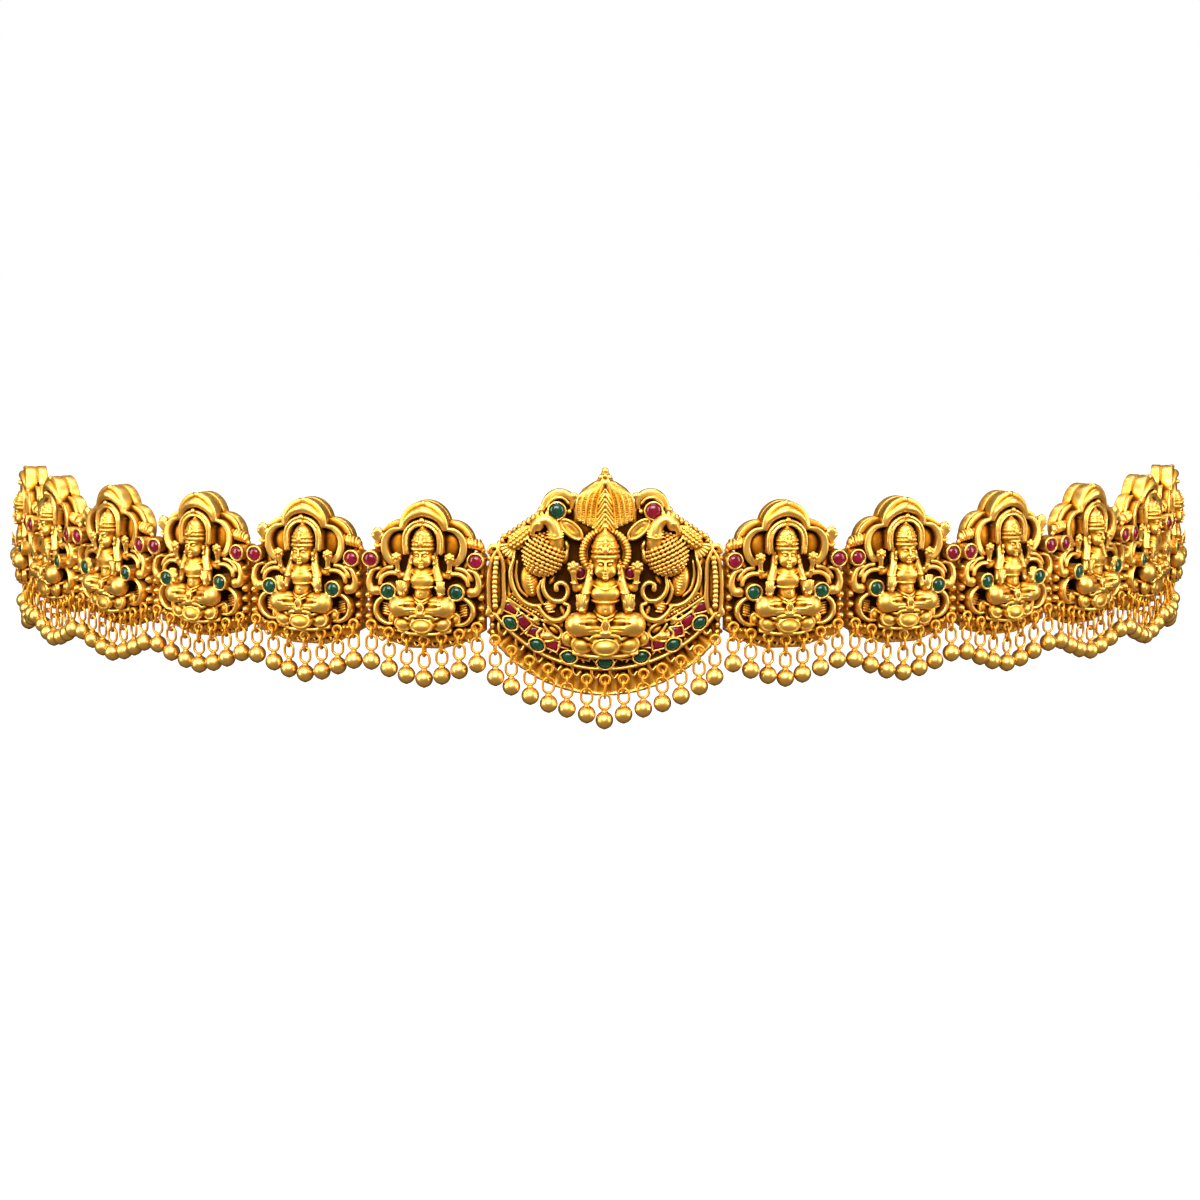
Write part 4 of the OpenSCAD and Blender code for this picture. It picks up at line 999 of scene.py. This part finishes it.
def centre_field(step):
    F = Field((-27.4, -0.5, -6.9), (27.4, 12.7, 46.8), step)
    lo, hi = (-26.2, -0.3), (26.2, 45.6)
    F.slab(centre_outline(0), lo, hi, 0, 2.35, 0.25)
    F.slab(centre_outline(0.55), lo, hi, 2.0, 3.0, 0.1)
    F.slab(centre_outline(0.1), lo, hi, 2.75, 3.3, 0.15)
    # lip behind the fringe
    F.slab(lambda x, z: np.maximum(np.sqrt(x ** 2 + (z - CRESCENT_R + LIP_H) ** 2) - CRESCENT_R,
                                   np.abs(x) - 25.9), (-26.0, -LIP_H - 0.2), (26.0, 12), 0.3, 2.1, 0.3)
    for t in np.radians(np.arange(-49, 49.5, 3.5)):
        ends = ((CRESCENT_R + 0.2, 1.9), (CRESCENT_R + LIP_H * math.cos(t) - 0.6, 1.7))
        F.line([(r * math.sin(t), d, CRESCENT_R - r * math.cos(t)) for r, d in ends], 0.5, 0.5)
    for off, r in ((0.5, 0.42), (LIP_H - 0.45, 0.34)):
        F.line(lift(bowl(CRESCENT_R, 52, 80, off), 2.1), r, 0.15, twist=0.9)
    for i in range(-6, 6):
        x = (CENTRE_HANGERS[i + 6][0] + CENTRE_HANGERS[i + 7][0]) / 2
        z = CRESCENT_R - math.sqrt(CRESCENT_R ** 2 - x * x)
        F.curve([(x - 1.0, 4.2, z + 0.5), (x - 0.9, 4.2, z - 1.2), (x, 4.0, z - 2.1),
                 (x + 0.8, 3.8, z - 1.2)], 0.34, 0.1)
    crescent(F)
    # crest: a tall folded leaf with chevrons, ribs and rows of beads
    F.slab(tent, (-7.3, 30.2), (7.3, 44.0), 2.8, 4.9, 0.5)
    F.egg((0, 4.0, 36.6), (6.0, 1.6, 6.8), blend=0.3)
    F.egg((0, 4.5, 37.6), (2.6, 1.6, 5.4), blend=0.3)
    for F.side in (-1, 1):
        for j in range(5):
            path = smooth_path([(0.35 + 0.42 * j, 42.7 - 0.25 * j), (1.15 + 1.1 * j, 40.2 - 0.1 * j),
                                (1.9 + 1.14 * j, 37.0), (2.2 + 1.08 * j, 32.6 + 0.5 * j)])
            d = np.linspace(5.5, 5.75, len(path)) - 0.2 * j
            F.line(lift(path, d), 0.36, 0.1, twist=0.9 if j % 2 else 0)
            if j < 4:
                row = [(a + 0.56, q - 0.05, b) for (a, b), q in zip(path, d)]
                F.beads(row[2:], 0.26, 0.5, 0.05)
    for i in range(9):
        top = 41.2 - 1.12 * i
        wide = 1.2 + 0.2 * i
        F.line([(-wide, 5.8, top - 2.0 - 0.2 * i), (0, 6.35, top), (wide, 5.8, top - 2.0 - 0.2 * i)],
               0.34 if i % 2 else 0.28, 0.08, twist=0.5 if i % 2 else 0)
    F.line(bow((2.1, 4.6, 42.3), (0, 5.3, 42.7)), 0.6, 0.1)
    F.egg((0, 4.2, 43.3), (1.75, 1.1, 1.3), blend=0.1)
    F.egg((0, 4.2, 44.3), (1.1, 0.9, 0.9), blend=0.1)
    F.ball((0, 4.4, 45.3), 0.8, 0.1)
    for x, z in ((-1.0, 43.9), (1.0, 43.9), (0, 44.2), (-0.5, 43.1), (0.5, 43.1)):
        F.ball((x, 5.2, z), 0.56, 0.06)
    # ribbed halo ring
    z, r = CENTRE_HALO_Z, CENTRE_HALO_R
    F.slab(round_fn(0, z, r + 0.2), (-5.4, z - 5.4), (5.4, z + 5.4), 2.9, 4.6, 0.3)
    F.line(lift(arc(0, z, r, -60, 240, 60), 5.4), 0.8, 0.05)
    for a in np.radians(np.arange(-52, 233, 8.2)):
        rib = ((r - 0.65, 5.95), (r, 6.3), (r + 0.65, 5.9))
        F.line([(q * math.cos(a), d, z + q * math.sin(a)) for q, d in rib], 0.25, 0.05)
    F.line(lift(arc(0, z, r - 0.95, -50, 230, 50), 5.4), 0.24, 0.05)
    F.ball((0, 6.2, 32.9), 0.72, 0.08)
    F.line([(0, 5.8, 33.4), (0, 5.9, 34.4)], [0.5, 0.2], 0.1)
    for F.side in (-1, 1):
        peacock(F)
        centre_sides(F)
        x, z = NECK_RUBY
        F.slab(round_fn(x, z, 1.5), (x - 1.6, z - 1.6), (x + 1.6, z + 1.6), 3.0, 4.3, 0.15)
        F.hoop(x, 4.4, z, 1.4, 0.2, 0.05)
    F.at(FIGURE_SCALE, FIGURE_Z)
    figure(F)
    F.at()
    return F


# Small parts, as (vertices, faces, painted shade and patina)
def moved(part, offset):
    v, f = part
    return v + np.array(offset, float), f


def eye_part(x, z):
    v, f = tube(ring_path(EYE_R, 20), WIRE + 0.06, 8)
    # the eye carries an even painted shade and patina of 0.22
    return v + front(x, DROP_D, z), f, 0.22


def eye_stem(F, x, z, back_d=1.6):
    F.line([(x, back_d, z + EYE_R), (x, DROP_D, z + EYE_R)], 0.36, 0.1)


def bead_profile():
    r = BEAD_R + 0.04
    pts = [(0.0, 0.32 - r), (0.16, 0.3 - r), (0.2, -0.03 - r), (0.34, -0.05 - r), (0.42, 0.05 - r)]
    for a in np.radians([-75, -68, -60, -50, -38, -25, -12, 0, 12, 25, 38, 50, 60, 68, 74]):
        pts.append((r * math.cos(a), r * math.sin(a)))
    return pts + [(0.74, r - 0.02), (0.7, r + 0.12), (0.5, r + 0.26), (0.42, r + 0.42), (0.0, r + 0.46)]


def link_part(z_low, z_high):
    n = 9
    a = np.linspace(math.pi, 2 * math.pi, n)
    low = [(0, LINK_R * math.cos(t), z_low + LINK_R * math.sin(t)) for t in a]
    b = np.linspace(0, math.pi, n)
    high = [(0, LINK_R * math.cos(t), z_high + LINK_R * math.sin(t)) for t in b]
    return tube(low + high, WIRE, 7)


def drop_parts(x, z, hang):
    """Bead with its ring, and the link that holds it hang below the eye, a little unevenly."""
    half = RING_R + RING_LONG / 2
    ring_z = BEAD_R + RING_RISE + half
    bead = lathe(bead_profile(), 24)
    ring = moved(tube(ring_path(RING_R, 24, RING_LONG), WIRE, 8), (0, 0, ring_z))
    rise = 2 * WIRE + LINK_PLAY - LINK_R
    link = link_part(ring_z + half - rise, hang - EYE_R + rise)
    twist, lean, swing, link_twist = rng.normal(0, DROP_SPREAD)
    out = []
    # the ring and link carry an even painted shade, 0.24 and 0.26
    for (v, f), t, patina_shade in ((bead, twist, None), (ring, twist, 0.24), (link, link_twist, 0.26)):
        v = turned(v, float(np.clip(t, -TWIST_MAX, TWIST_MAX)))
        v = v - np.array([0, 0, hang])
        v = turned(v, float(np.clip(swing, -SWING_MAX, SWING_MAX)), "X")
        v = turned(v, float(np.clip(lean, -LEAN_MAX, LEAN_MAX)), "Y")
        if patina_shade is None:
            # painted shade: the bead is darker round its hole and at its cap
            up = v[:, 2] + hang
            patina_shade = np.clip((-0.8 * BEAD_R - up) * 3.0, 0, 1) * 0.7
            patina_shade += np.clip((up - 0.95 * BEAD_R) * 2, 0, 1) * 0.25
        out.append((v + front(x, DROP_D, z + hang), f, patina_shade))
    return out


def dome(outline, height, base, rings=6):
    """Polished stone over an outline of (x, z) points: bottom at depth base, facing the front."""
    P = np.array(outline, float)
    c = P.mean(0)
    n = len(P)
    v = [front(p[0], base, p[1]) for p in P]
    for i in range(1, rings + 1):
        t = i / rings * math.pi / 2
        k, h = math.cos(t) ** 0.9 if i < rings else 0.0, math.sin(t)
        if i == rings:
            v.append(front(c[0], base + 0.35 + height, c[1]))
        else:
            v += [front(q[0], base + 0.35 + height * h, q[1]) for q in c + (P - c) * k]
    f = []
    for i in range(rings - 1):
        for j in range(n):
            a, b = i * n + j, i * n + (j + 1) % n
            f += [(a, b, b + n), (a, b + n, a + n)]
    tip = len(v) - 1
    f += [((rings - 1) * n + j, (rings - 1) * n + (j + 1) % n, tip) for j in range(n)]
    f += [(0, (j + 1) % n, j) for j in range(1, n - 1)]
    return np.array(v), np.array(f), 0.0


def round_outline(x, z, r, n=26):
    a = np.arange(n) * 2 * math.pi / n
    return [(x + r * math.cos(t), z + r * math.sin(t)) for t in a]


def hangers(xs, beads, eyes):
    """(across, bead height, eye height) for a fringe that mirrors about its middle."""
    n = len(beads) - 1
    return [(math.copysign(xs[abs(i)], i), beads[abs(i)], eyes[abs(i)]) for i in range(-n, n + 1)]


SIDE_HANGERS = hangers([DROP_PITCH * i for i in range(4)], SIDE_BEAD_Z, SIDE_EYE_Z)
CENTRE_HANGERS = hangers(CENTRE_BEAD_X, CENTRE_BEAD_Z, CENTRE_EYE_Z)


def mirrored(v, f):
    return v * np.array([-1, 1, 1]), np.asarray(f)[:, ::-1]


# Places
def turn_of(k):
    return FIRST_TURN + (k - 1) * TURN_STEP + TURN_GROWTH * (k - 1) * (k - 2) / 2


def along(a):
    return np.array([math.cos(math.radians(a)), math.sin(math.radians(a))])


def middle_of(k):
    m = np.array([CENTRE_HALF, 0]) + along(turn_of(1)) * PITCH / 2
    for i in range(2, k + 1):
        m = m + (along(turn_of(i - 1)) + along(turn_of(i))) * PITCH / 2
    return m


def place(k, side):
    m = middle_of(k)
    spot_at = Vector((side * m[0], m[1] - HALF_DEPTH, -BELT_DROP)) * MM
    return Matrix.Translation(spot_at) @ Matrix.Rotation(math.radians(side * turn_of(k)), 4, "Z")


CENTRE_AT = Matrix.Translation(Vector((0, -HALF_DEPTH, -BELT_DROP - CENTRE_DROP)) * MM)


def add(name, mesh, at, slot, material, *nodes):
    ob = bpy.data.objects.new(name, mesh)
    bpy.context.scene.collection.objects.link(ob)
    ob.matrix_world = at
    if not mesh.materials:
        mesh.materials.append(material)
    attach(ob, "root")
    if nodes:
        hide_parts(*nodes)


# Materials
CLOUD_SCALE, GRAIN_SCALE, STONE_CLOUD_SCALE, SCRATCH_SCALE = 420.0, 3800.0, 700.0, 2200.0
CHIP_CORNERS = ((-1, -0.7), (-0.1, -0.95), (0.9, -1), (1, 0), (1, 0.75), (0.2, 0.95), (-0.6, 1), (-0.9, 0.2))
# Gold from a shallow hollow to a deep one: patina and painted shade, darkening to near-black brown
PATINA_AND_SHADE = ((0.22, (0.75, 0.355, 0.032)), (0.42, (0.53, 0.205, 0.010)), (0.68, (0.27, 0.085, 0.004)),
          (0.95, (0.055, 0.017, 0.002)))


def node_tree(name):
    mat = bpy.data.materials.new(name)
    mat.use_nodes = True
    nt = mat.node_tree
    shader = next(n for n in nt.nodes if n.type == "BSDF_PRINCIPLED")
    return mat, nt, shader


def link_nodes(nt, kind, inputs=None, **props):
    n = nt.nodes.new(kind)
    for key, value in props.items():
        setattr(n, key, value)
    for key, value in (inputs or {}).items():
        if isinstance(value, bpy.types.NodeSocket):
            nt.links.new(value, n.inputs[key])
        else:
            n.inputs[key].default_value = value
    return n


def noise(nt, where, scale, detail, distortion=0.0):
    inputs = {"Vector": where, "Scale": scale, "Detail": detail, "Distortion": distortion}
    return link_nodes(nt, "ShaderNodeTexNoise", inputs).outputs["Fac"]


def spread(nt, value, low, high, start, end):
    """A value mapped from one range to another."""
    inputs = {"Value": value, "From Min": low, "From Max": high, "To Min": start, "To Max": end}
    return link_nodes(nt, "ShaderNodeMapRange", inputs).outputs[0]


def colour_ramp(nt, value, stops):
    node = link_nodes(nt, "ShaderNodeValToRGB", {"Fac": value})
    elements = node.color_ramp.elements
    for end, (at, colour) in zip(elements, (stops[0], stops[-1])):
        end.position, end.color = at, (*colour, 1)
    for at, colour in stops[1:-1]:
        elements.new(at).color = (*colour, 1)
    return node.outputs["Color"]


def bump(nt, shader, height, strength, distance):
    node = link_nodes(nt, "ShaderNodeBump", {"Height": height, "Strength": strength, "Distance": distance})
    nt.links.new(node.outputs["Normal"], shader.inputs["Normal"])


def gold_material(name, bright, rough, grain):
    """Old gold: bright where it is rubbed, painted dark brown where the relief is deep, as patina and painted
    shade.
    """
    mat, nt, shader = node_tree(name)
    patina_and_shade = link_nodes(nt, "ShaderNodeAttribute", attribute_name="patina_and_shade").outputs["Fac"]
    where = link_nodes(nt, "ShaderNodeTexCoord").outputs["Object"]
    cloud = noise(nt, where, CLOUD_SCALE, 4.0)
    shift = link_nodes(nt, "ShaderNodeMath", {0: cloud, 1: -0.5}, operation="ADD").outputs[0]
    # amount of painted shade and patina, stirred a little by the cloud noise
    amount = link_nodes(nt, "ShaderNodeMath", {0: shift, 1: 0.35, 2: patina_and_shade},
                        operation="MULTIPLY_ADD").outputs[0]
    nt.links.new(colour_ramp(nt, amount, ((0.0, bright), *PATINA_AND_SHADE)), shader.inputs["Base Color"])
    dull = spread(nt, amount, 0.0, 0.9, rough, 0.72)
    dull = link_nodes(nt, "ShaderNodeMath", {0: shift, 1: 0.22, 2: dull}, operation="MULTIPLY_ADD").outputs[0]
    nt.links.new(dull, shader.inputs["Roughness"])
    shader.inputs["Metallic"].default_value = 1.0
    nt.links.new(spread(nt, amount, 0.0, 0.4, 0.7, 0.0), shader.inputs["Coat Weight"])
    shader.inputs["Coat Roughness"].default_value = 0.3
    bump(nt, shader, noise(nt, where, GRAIN_SCALE, 3.0), grain, 0.00006)
    return mat


def stone_material(name, colour, deep):
    """Polished glassy stone with a deeper colour in its body."""
    mat, nt, shader = node_tree(name)
    where = link_nodes(nt, "ShaderNodeTexCoord").outputs["Object"]
    cloud = noise(nt, where, STONE_CLOUD_SCALE, 5.0, 0.6)
    nt.links.new(colour_ramp(nt, cloud, ((0.3, deep), (0.72, colour))), shader.inputs["Base Color"])
    for key, value in (("Roughness", 0.14), ("IOR", 1.4), ("Coat Weight", 0.1), ("Coat Roughness", 0.06)):
        shader.inputs[key].default_value = value
    bump(nt, shader, noise(nt, where, SCRATCH_SCALE, 2.0), 0.05, 0.00004)
    return mat


cast_gold = gold_material("antique_gold", (0.80, 0.462, 0.082), 0.4, 0.34)
bead_gold = gold_material("satin_gold", (0.81, 0.468, 0.088), 0.38, 0.12)
wire_gold = gold_material("wire_gold", (0.83, 0.48, 0.10), 0.3, 0.1)
ruby = stone_material("ruby_glass", (0.17, 0.001, 0.014), (0.06, 0.0005, 0.005))
emerald = stone_material("emerald_glass", (0.002, 0.045, 0.020), (0.001, 0.012, 0.006))

STEP = 0.13
SIDE_TRIANGLES = 46000
CENTRE_TRIANGLES = 150000

# Side panels: one casting, and its mirror image on the left
field = side_field(STEP)
for x, _, z in SIDE_HANGERS:
    eye_stem(field, x, z)
co, tri, patina_shade = sculpt(field, "side", SIDE_TRIANGLES)
del field


def join_ring(x, z, level):
    path = ring_path(JOIN_R, 22)
    if level:
        path = turned(path, math.pi / 2, "X")
    v, f = tube(path, JOIN_WIRE, 8)
    # the join ring carries an even painted shade and patina of 0.3
    return v + front(x, -JOIN_Y, z), f, 0.3


def post(x, z):
    v, f = tube([front(x, 1.2, z), front(x, 0.2, z), front(x, -0.6, z), front(x, -JOIN_Y, z)], 0.45, 9,
                closed=False)
    # the post carries an even painted shade and patina of 0.3
    return v, f, 0.3


def side_extras(last):
    parts = [eye_part(x, z) for x, _, z in SIDE_HANGERS]
    for z in JOIN_Z:
        parts += [join_ring(-PITCH / 2 + JOIN_R / 2, z, False), post(-PITCH / 2 + 1.5 * JOIN_R, z)]
    for z in (END_EYE_Z,) if last else JOIN_Z:
        parts += [join_ring(PITCH / 2 - JOIN_R / 2, z, True), post(PITCH / 2 - 1.35, z)]
    return parts


for side, word in ((-1, "l"), (1, "r")):
    for last in (False, True):
        parts = [(co, tri, patina_shade)] + [(v * MM, f, r) for v, f, r in side_extras(last)]
        if side < 0:
            parts = [(*mirrored(v, f), r) for v, f, r in parts]
        mesh = build("casting_" + word + ("_end" if last else ""), parts)
        for k in ([6] if last else range(1, 6)):
            add(f"casting_{word}{k}", mesh, place(k, side), "gold", cast_gold, f"panel_{word}{k}")
    for k in range(1, 7):
        parts = [p for x, low, high in SIDE_HANGERS for p in drop_parts(x, low, high - low)]
        parts = [(v * MM, f, r) for v, f, r in parts]
        if side < 0:
            parts = [(*mirrored(v, f), r) for v, f, r in parts]
        add(f"fringe_{word}{k}", build(f"fringe_{word}{k}", parts), place(k, side), "gold", bead_gold,
            f"drops_{word}{k}")

# Centre piece
field = centre_field(STEP)
for x, _, z in CENTRE_HANGERS:
    eye_stem(field, x, z, 1.2)
co, tri, patina_shade = sculpt(field, "centre", CENTRE_TRIANGLES)
del field
parts = [eye_part(x, z) for x, _, z in CENTRE_HANGERS]
for s in (-1, 1):
    for z in JOIN_Z:
        x = s * (CENTRE_HALF - JOIN_R / 2)
        parts += [join_ring(x, z + CENTRE_DROP, True), post(s * (CENTRE_HALF - 1.35), z + CENTRE_DROP)]
mesh = build("centre_casting", [(co, tri, patina_shade)] + [(v * MM, f, r) for v, f, r in parts])
add("centre_casting", mesh, CENTRE_AT, "gold", cast_gold, "centre_panel")
parts = [p for x, low, high in CENTRE_HANGERS for p in drop_parts(x, low, high - low)]
add("centre_fringe", build("centre_fringe", [(v * MM, f, r) for v, f, r in parts]), CENTRE_AT, "gold",
    bead_gold, "drops_centre")

# Round stones of each half, then those of the centre piece
for side, word in ((-1, "left"), (1, "right")):
    for kind, (x, z), d, material in (("ruby", RUBY, RUBY_D, ruby), ("emerald", EMERALD, EMERALD_D, emerald)):
        parts = []
        for k in range(1, 7):
            at = np.array(place(k, side))
            for s in (-1, 1):
                v, f, r = dome(round_outline(s * x, z, STONE_R), 0.95, d - 0.85)
                parts.append((v * MM @ at[:3, :3].T + at[:3, 3], f, r))
        node = ("rubies_" if kind == "ruby" else "emeralds_") + word
        add(node + "_polished", build(node + "_polished", parts), Matrix(), kind, material, node)
for s, kind, material in ((1, "ruby", ruby), (-1, "emerald", emerald)):
    v, f, r = dome(round_outline(s * TOP_STONE[0], TOP_STONE[1], STONE_R + 0.25), 1.05, TOP_STONE_D - 0.85)
    add(f"centre_{kind}_polished", build(f"centre_{kind}_polished", [(v * MM, f, r)]), CENTRE_AT, kind,
        material, f"centre_{kind}")
parts = [dome(pointed_path(x, z, a, 1.76, 1.26, 12)[:-1], 0.8, 4.6, 5) for x, z, a in EMERALDS_LOW]
add("crescent_emeralds", build("crescent_emeralds", [(v * MM, f, r) for v, f, r in parts]), CENTRE_AT,
    "emerald", emerald)
parts = []
for x, z, a, w, h in RUBY_CHIPS:
    corners = [spot(x, z, a, u * w, v * h) for u, v in CHIP_CORNERS]
    parts.append(dome(corners, 0.3, 4.15, 3))
for s in (-1, 1):
    parts.append(dome(round_outline(s * NECK_RUBY[0], NECK_RUBY[1], 1.25, 18), 0.55, 4.2, 4))
add("crescent_rubies", build("crescent_rubies", [(v * MM, f, r) for v, f, r in parts]), CENTRE_AT, "ruby",
    ruby)


# Chain: oval links that pass through each other along the way round the back
def chain_path():
    m = middle_of(6) - np.array([0, HALF_DEPTH])
    t = turn_of(6)
    start = m + along(t) * (PITCH / 2 + CHAIN_END_GAP) + along(t + 90) * JOIN_Y
    depth = HALF_DEPTH - CHAIN_INSET
    width = start[0] / math.sqrt(1 - (start[1] / depth) ** 2)
    a0, a1 = math.asin(start[1] / depth), math.acos(CHAIN_END_X / width)
    z0 = END_EYE_Z - BELT_DROP
    u = np.linspace(0, 1, 400)
    a = a0 + (a1 - a0) * u
    P = np.stack([width * np.cos(a), depth * np.sin(a), z0 + (HOOK_Z - z0) * u * u * (3 - 2 * u)], 1)
    first = m + along(t) * (PITCH / 2 + FIRST_LINK) + along(t + 90) * JOIN_Y
    return np.array([*first, z0]), P, depth


def link_centres(first, P, last):
    """Centres of the links, the same step apart, from the end eye's link to the hook's."""
    near = np.minimum(np.linalg.norm(P - first, axis=1), np.linalg.norm(P - last, axis=1))
    P = P[near > LINK_CLEAR]
    path = np.concatenate([[first], P, [last]])
    s = np.concatenate([[0], np.cumsum(np.linalg.norm(np.diff(path, axis=0), axis=1))])
    n = int(math.ceil(s[-1] / CHAIN_STEP))
    n += n % 2
    return np.stack([np.interp(np.linspace(0, s[-1], n + 1), s, path[:, i]) for i in range(3)], 1)


def chain_links(side):
    first, P, depth = chain_path()
    x, back = LAST_RIGHT if side > 0 else LAST_LEFT
    last = np.array([x, depth + back, HOOK_Z])
    C = link_centres(first, P, last)
    n = 8
    a = np.linspace(-math.pi / 2, math.pi / 2, n)
    half = CHAIN_LONG / 2 - CHAIN_WIDE / 2
    right = [(half + CHAIN_MID * math.cos(t), CHAIN_MID * math.sin(t), 0) for t in a]
    shape = np.array(right + [(-x, -y, z) for x, y, z in right])
    parts = []
    for i, c in enumerate(C):
        d = C[min(i + 1, len(C) - 1)] - C[max(i - 1, 0)]
        d = d / np.linalg.norm(d)
        flat = np.cross([0, 0, 1], d)
        flat /= np.linalg.norm(flat)
        up = np.cross(d, flat)
        across, normal = (up, flat) if i % 2 == 0 else (flat, up)
        v, f = tube(shape, CHAIN_WIRE, 8)
        v = c + v @ np.stack([d, across, normal])
        if np.linalg.det(np.stack([d, across, normal])) < 0:
            f = f[:, ::-1]
        # each link carries an even painted shade and patina of 0.15
        parts.append((v * MM, f, 0.15))
    return parts


for side, word in ((-1, "left"), (1, "right")):
    parts = chain_links(side)
    if side < 0:
        parts = [(*mirrored(v, f), r) for v, f, r in parts]
    add(f"chain_{word}_links", build(f"chain_{word}_links", parts), Matrix(), "gold", wire_gold,
        f"chain_{word}")
depth = HALF_DEPTH - CHAIN_INSET
bend = [(-HOOK_ARM - HOOK_BEND * math.sin(t), HOOK_BEND - HOOK_BEND * math.cos(t), 0)
        for t in np.linspace(0, math.pi, 18)]
shank = tube([(2.4, 0, 0), (0, 0, 0), (-2, 0, 0)] + bend,
             [HOOK_WIRE] * 3 + list(np.linspace(HOOK_WIRE, HOOK_END, 18)), 12, closed=False)
loop = moved(tube(turned(ring_path(2.0, 26), math.pi / 2, "X"), 0.7, 12), (4.2, 0, 0))
ball = [(0.84 * math.cos(t), 0.84 * math.sin(t)) for t in np.linspace(-math.pi / 2, math.pi / 2, 11)]
tip = moved(lathe(ball, 16), (-HOOK_ARM, 2 * HOOK_BEND, 0))
cuff = moved(tube(turned(ring_path(HOOK_WIRE, 16), math.pi / 2), 0.25, 8), (2.0, 0, 0))
# the hook carries an even painted shade and patina of 0.1
parts = [((v + np.array([0, depth, HOOK_Z])) * MM, f, 0.1) for v, f in (shank, loop, tip, cuff)]
add("hook_wire", build("hook_wire", parts), Matrix(), "gold", wire_gold, "hook")


# Floor, light and camera, in metres
FLOOR_Z = -0.6
corners = [(-30, -30, FLOOR_Z), (30, -30, FLOOR_Z), (30, 30, FLOOR_Z), (-30, 30, FLOOR_Z)]
floor_mesh = make_mesh("floor", np.array(corners, float), np.array([(0, 1, 2, 3)]), False)
floor = bpy.data.objects.new("floor", floor_mesh)
bpy.context.scene.collection.objects.link(floor)
mat, nt, shader = node_tree("pale_floor")
shader.inputs["Base Color"].default_value = (0.9, 0.9, 0.9, 1)
shader.inputs["Roughness"].default_value = 0.9
shader.inputs["Specular IOR Level"].default_value = 0.0
shader.inputs["Emission Color"].default_value = (1, 1, 1, 1)
shader.inputs["Emission Strength"].default_value = 0.75
floor_mesh.materials.append(mat)
floor.visible_glossy = False

world = bpy.data.worlds.new("studio")
bpy.context.scene.world = world
world.use_nodes = True
nt = world.node_tree
nt.nodes.clear()
where = link_nodes(nt, "ShaderNodeTexCoord").outputs["Generated"]
split = link_nodes(nt, "ShaderNodeSeparateXYZ", {"Vector": where})
up = spread(nt, split.outputs["Z"], -1.0, 1.0, 0.0, 1.0)
sky = colour_ramp(nt, up, ((0.0, (0.37, 0.30, 0.22)), (0.5, (0.31, 0.265, 0.21)), (1.0, (0.95, 0.94, 0.92))))
behind = spread(nt, split.outputs["Y"], -0.25, 0.6, 0.0, 0.9)
shade = link_nodes(nt, "ShaderNodeMixRGB", {"Fac": behind, "Color1": sky, "Color2": (0.06, 0.035, 0.015, 1)})
soft = link_nodes(nt, "ShaderNodeBackground", {"Color": shade.outputs["Color"], "Strength": 1.0})
white = link_nodes(nt, "ShaderNodeBackground", {"Color": (1, 1, 1, 1), "Strength": 1.0})
seen = link_nodes(nt, "ShaderNodeLightPath").outputs["Is Camera Ray"]
mix = link_nodes(nt, "ShaderNodeMixShader", {0: seen, 1: soft.outputs[0], 2: white.outputs[0]})
link_nodes(nt, "ShaderNodeOutputWorld", {"Surface": mix.outputs[0]})


def softbox(name, at, target, size, size_y, power):
    data = bpy.data.lights.new(name, "AREA")
    data.shape, data.size, data.size_y = "RECTANGLE", size, size_y
    data.energy = power
    ob = bpy.data.objects.new(name, data)
    bpy.context.scene.collection.objects.link(ob)
    ob.location = at
    ob.rotation_euler = (Vector(target) - Vector(at)).to_track_quat("-Z", "Y").to_euler()


softbox("key", (-0.1, -0.95, 0.62), (0, -0.1, 0.0), 0.75, 0.5, 17)
softbox("left", (-0.95, -0.45, 0.28), (-0.1, -0.05, 0), 0.35, 0.8, 9)
softbox("right", (0.95, -0.45, 0.28), (0.1, -0.05, 0), 0.35, 0.8, 9)
softbox("top", (0, 0.1, 1.1), (0, -0.05, 0), 0.9, 0.9, 10)

cam = bpy.data.cameras.new("camera")
cam.sensor_width, cam.sensor_fit, cam.lens = 36.0, "HORIZONTAL", 77.5
cam.clip_start, cam.clip_end = 0.01, 100.0
cam_ob = bpy.data.objects.new("camera", cam)
bpy.context.scene.collection.objects.link(cam_ob)
cam_ob.location = (-0.00809, -0.7085, 0.077)
cam_ob.rotation_euler = (math.radians(90 - 8.3), 0, math.radians(-0.688))
bpy.context.scene.camera = cam_ob
bpy.context.scene.view_settings.view_transform = "Standard"
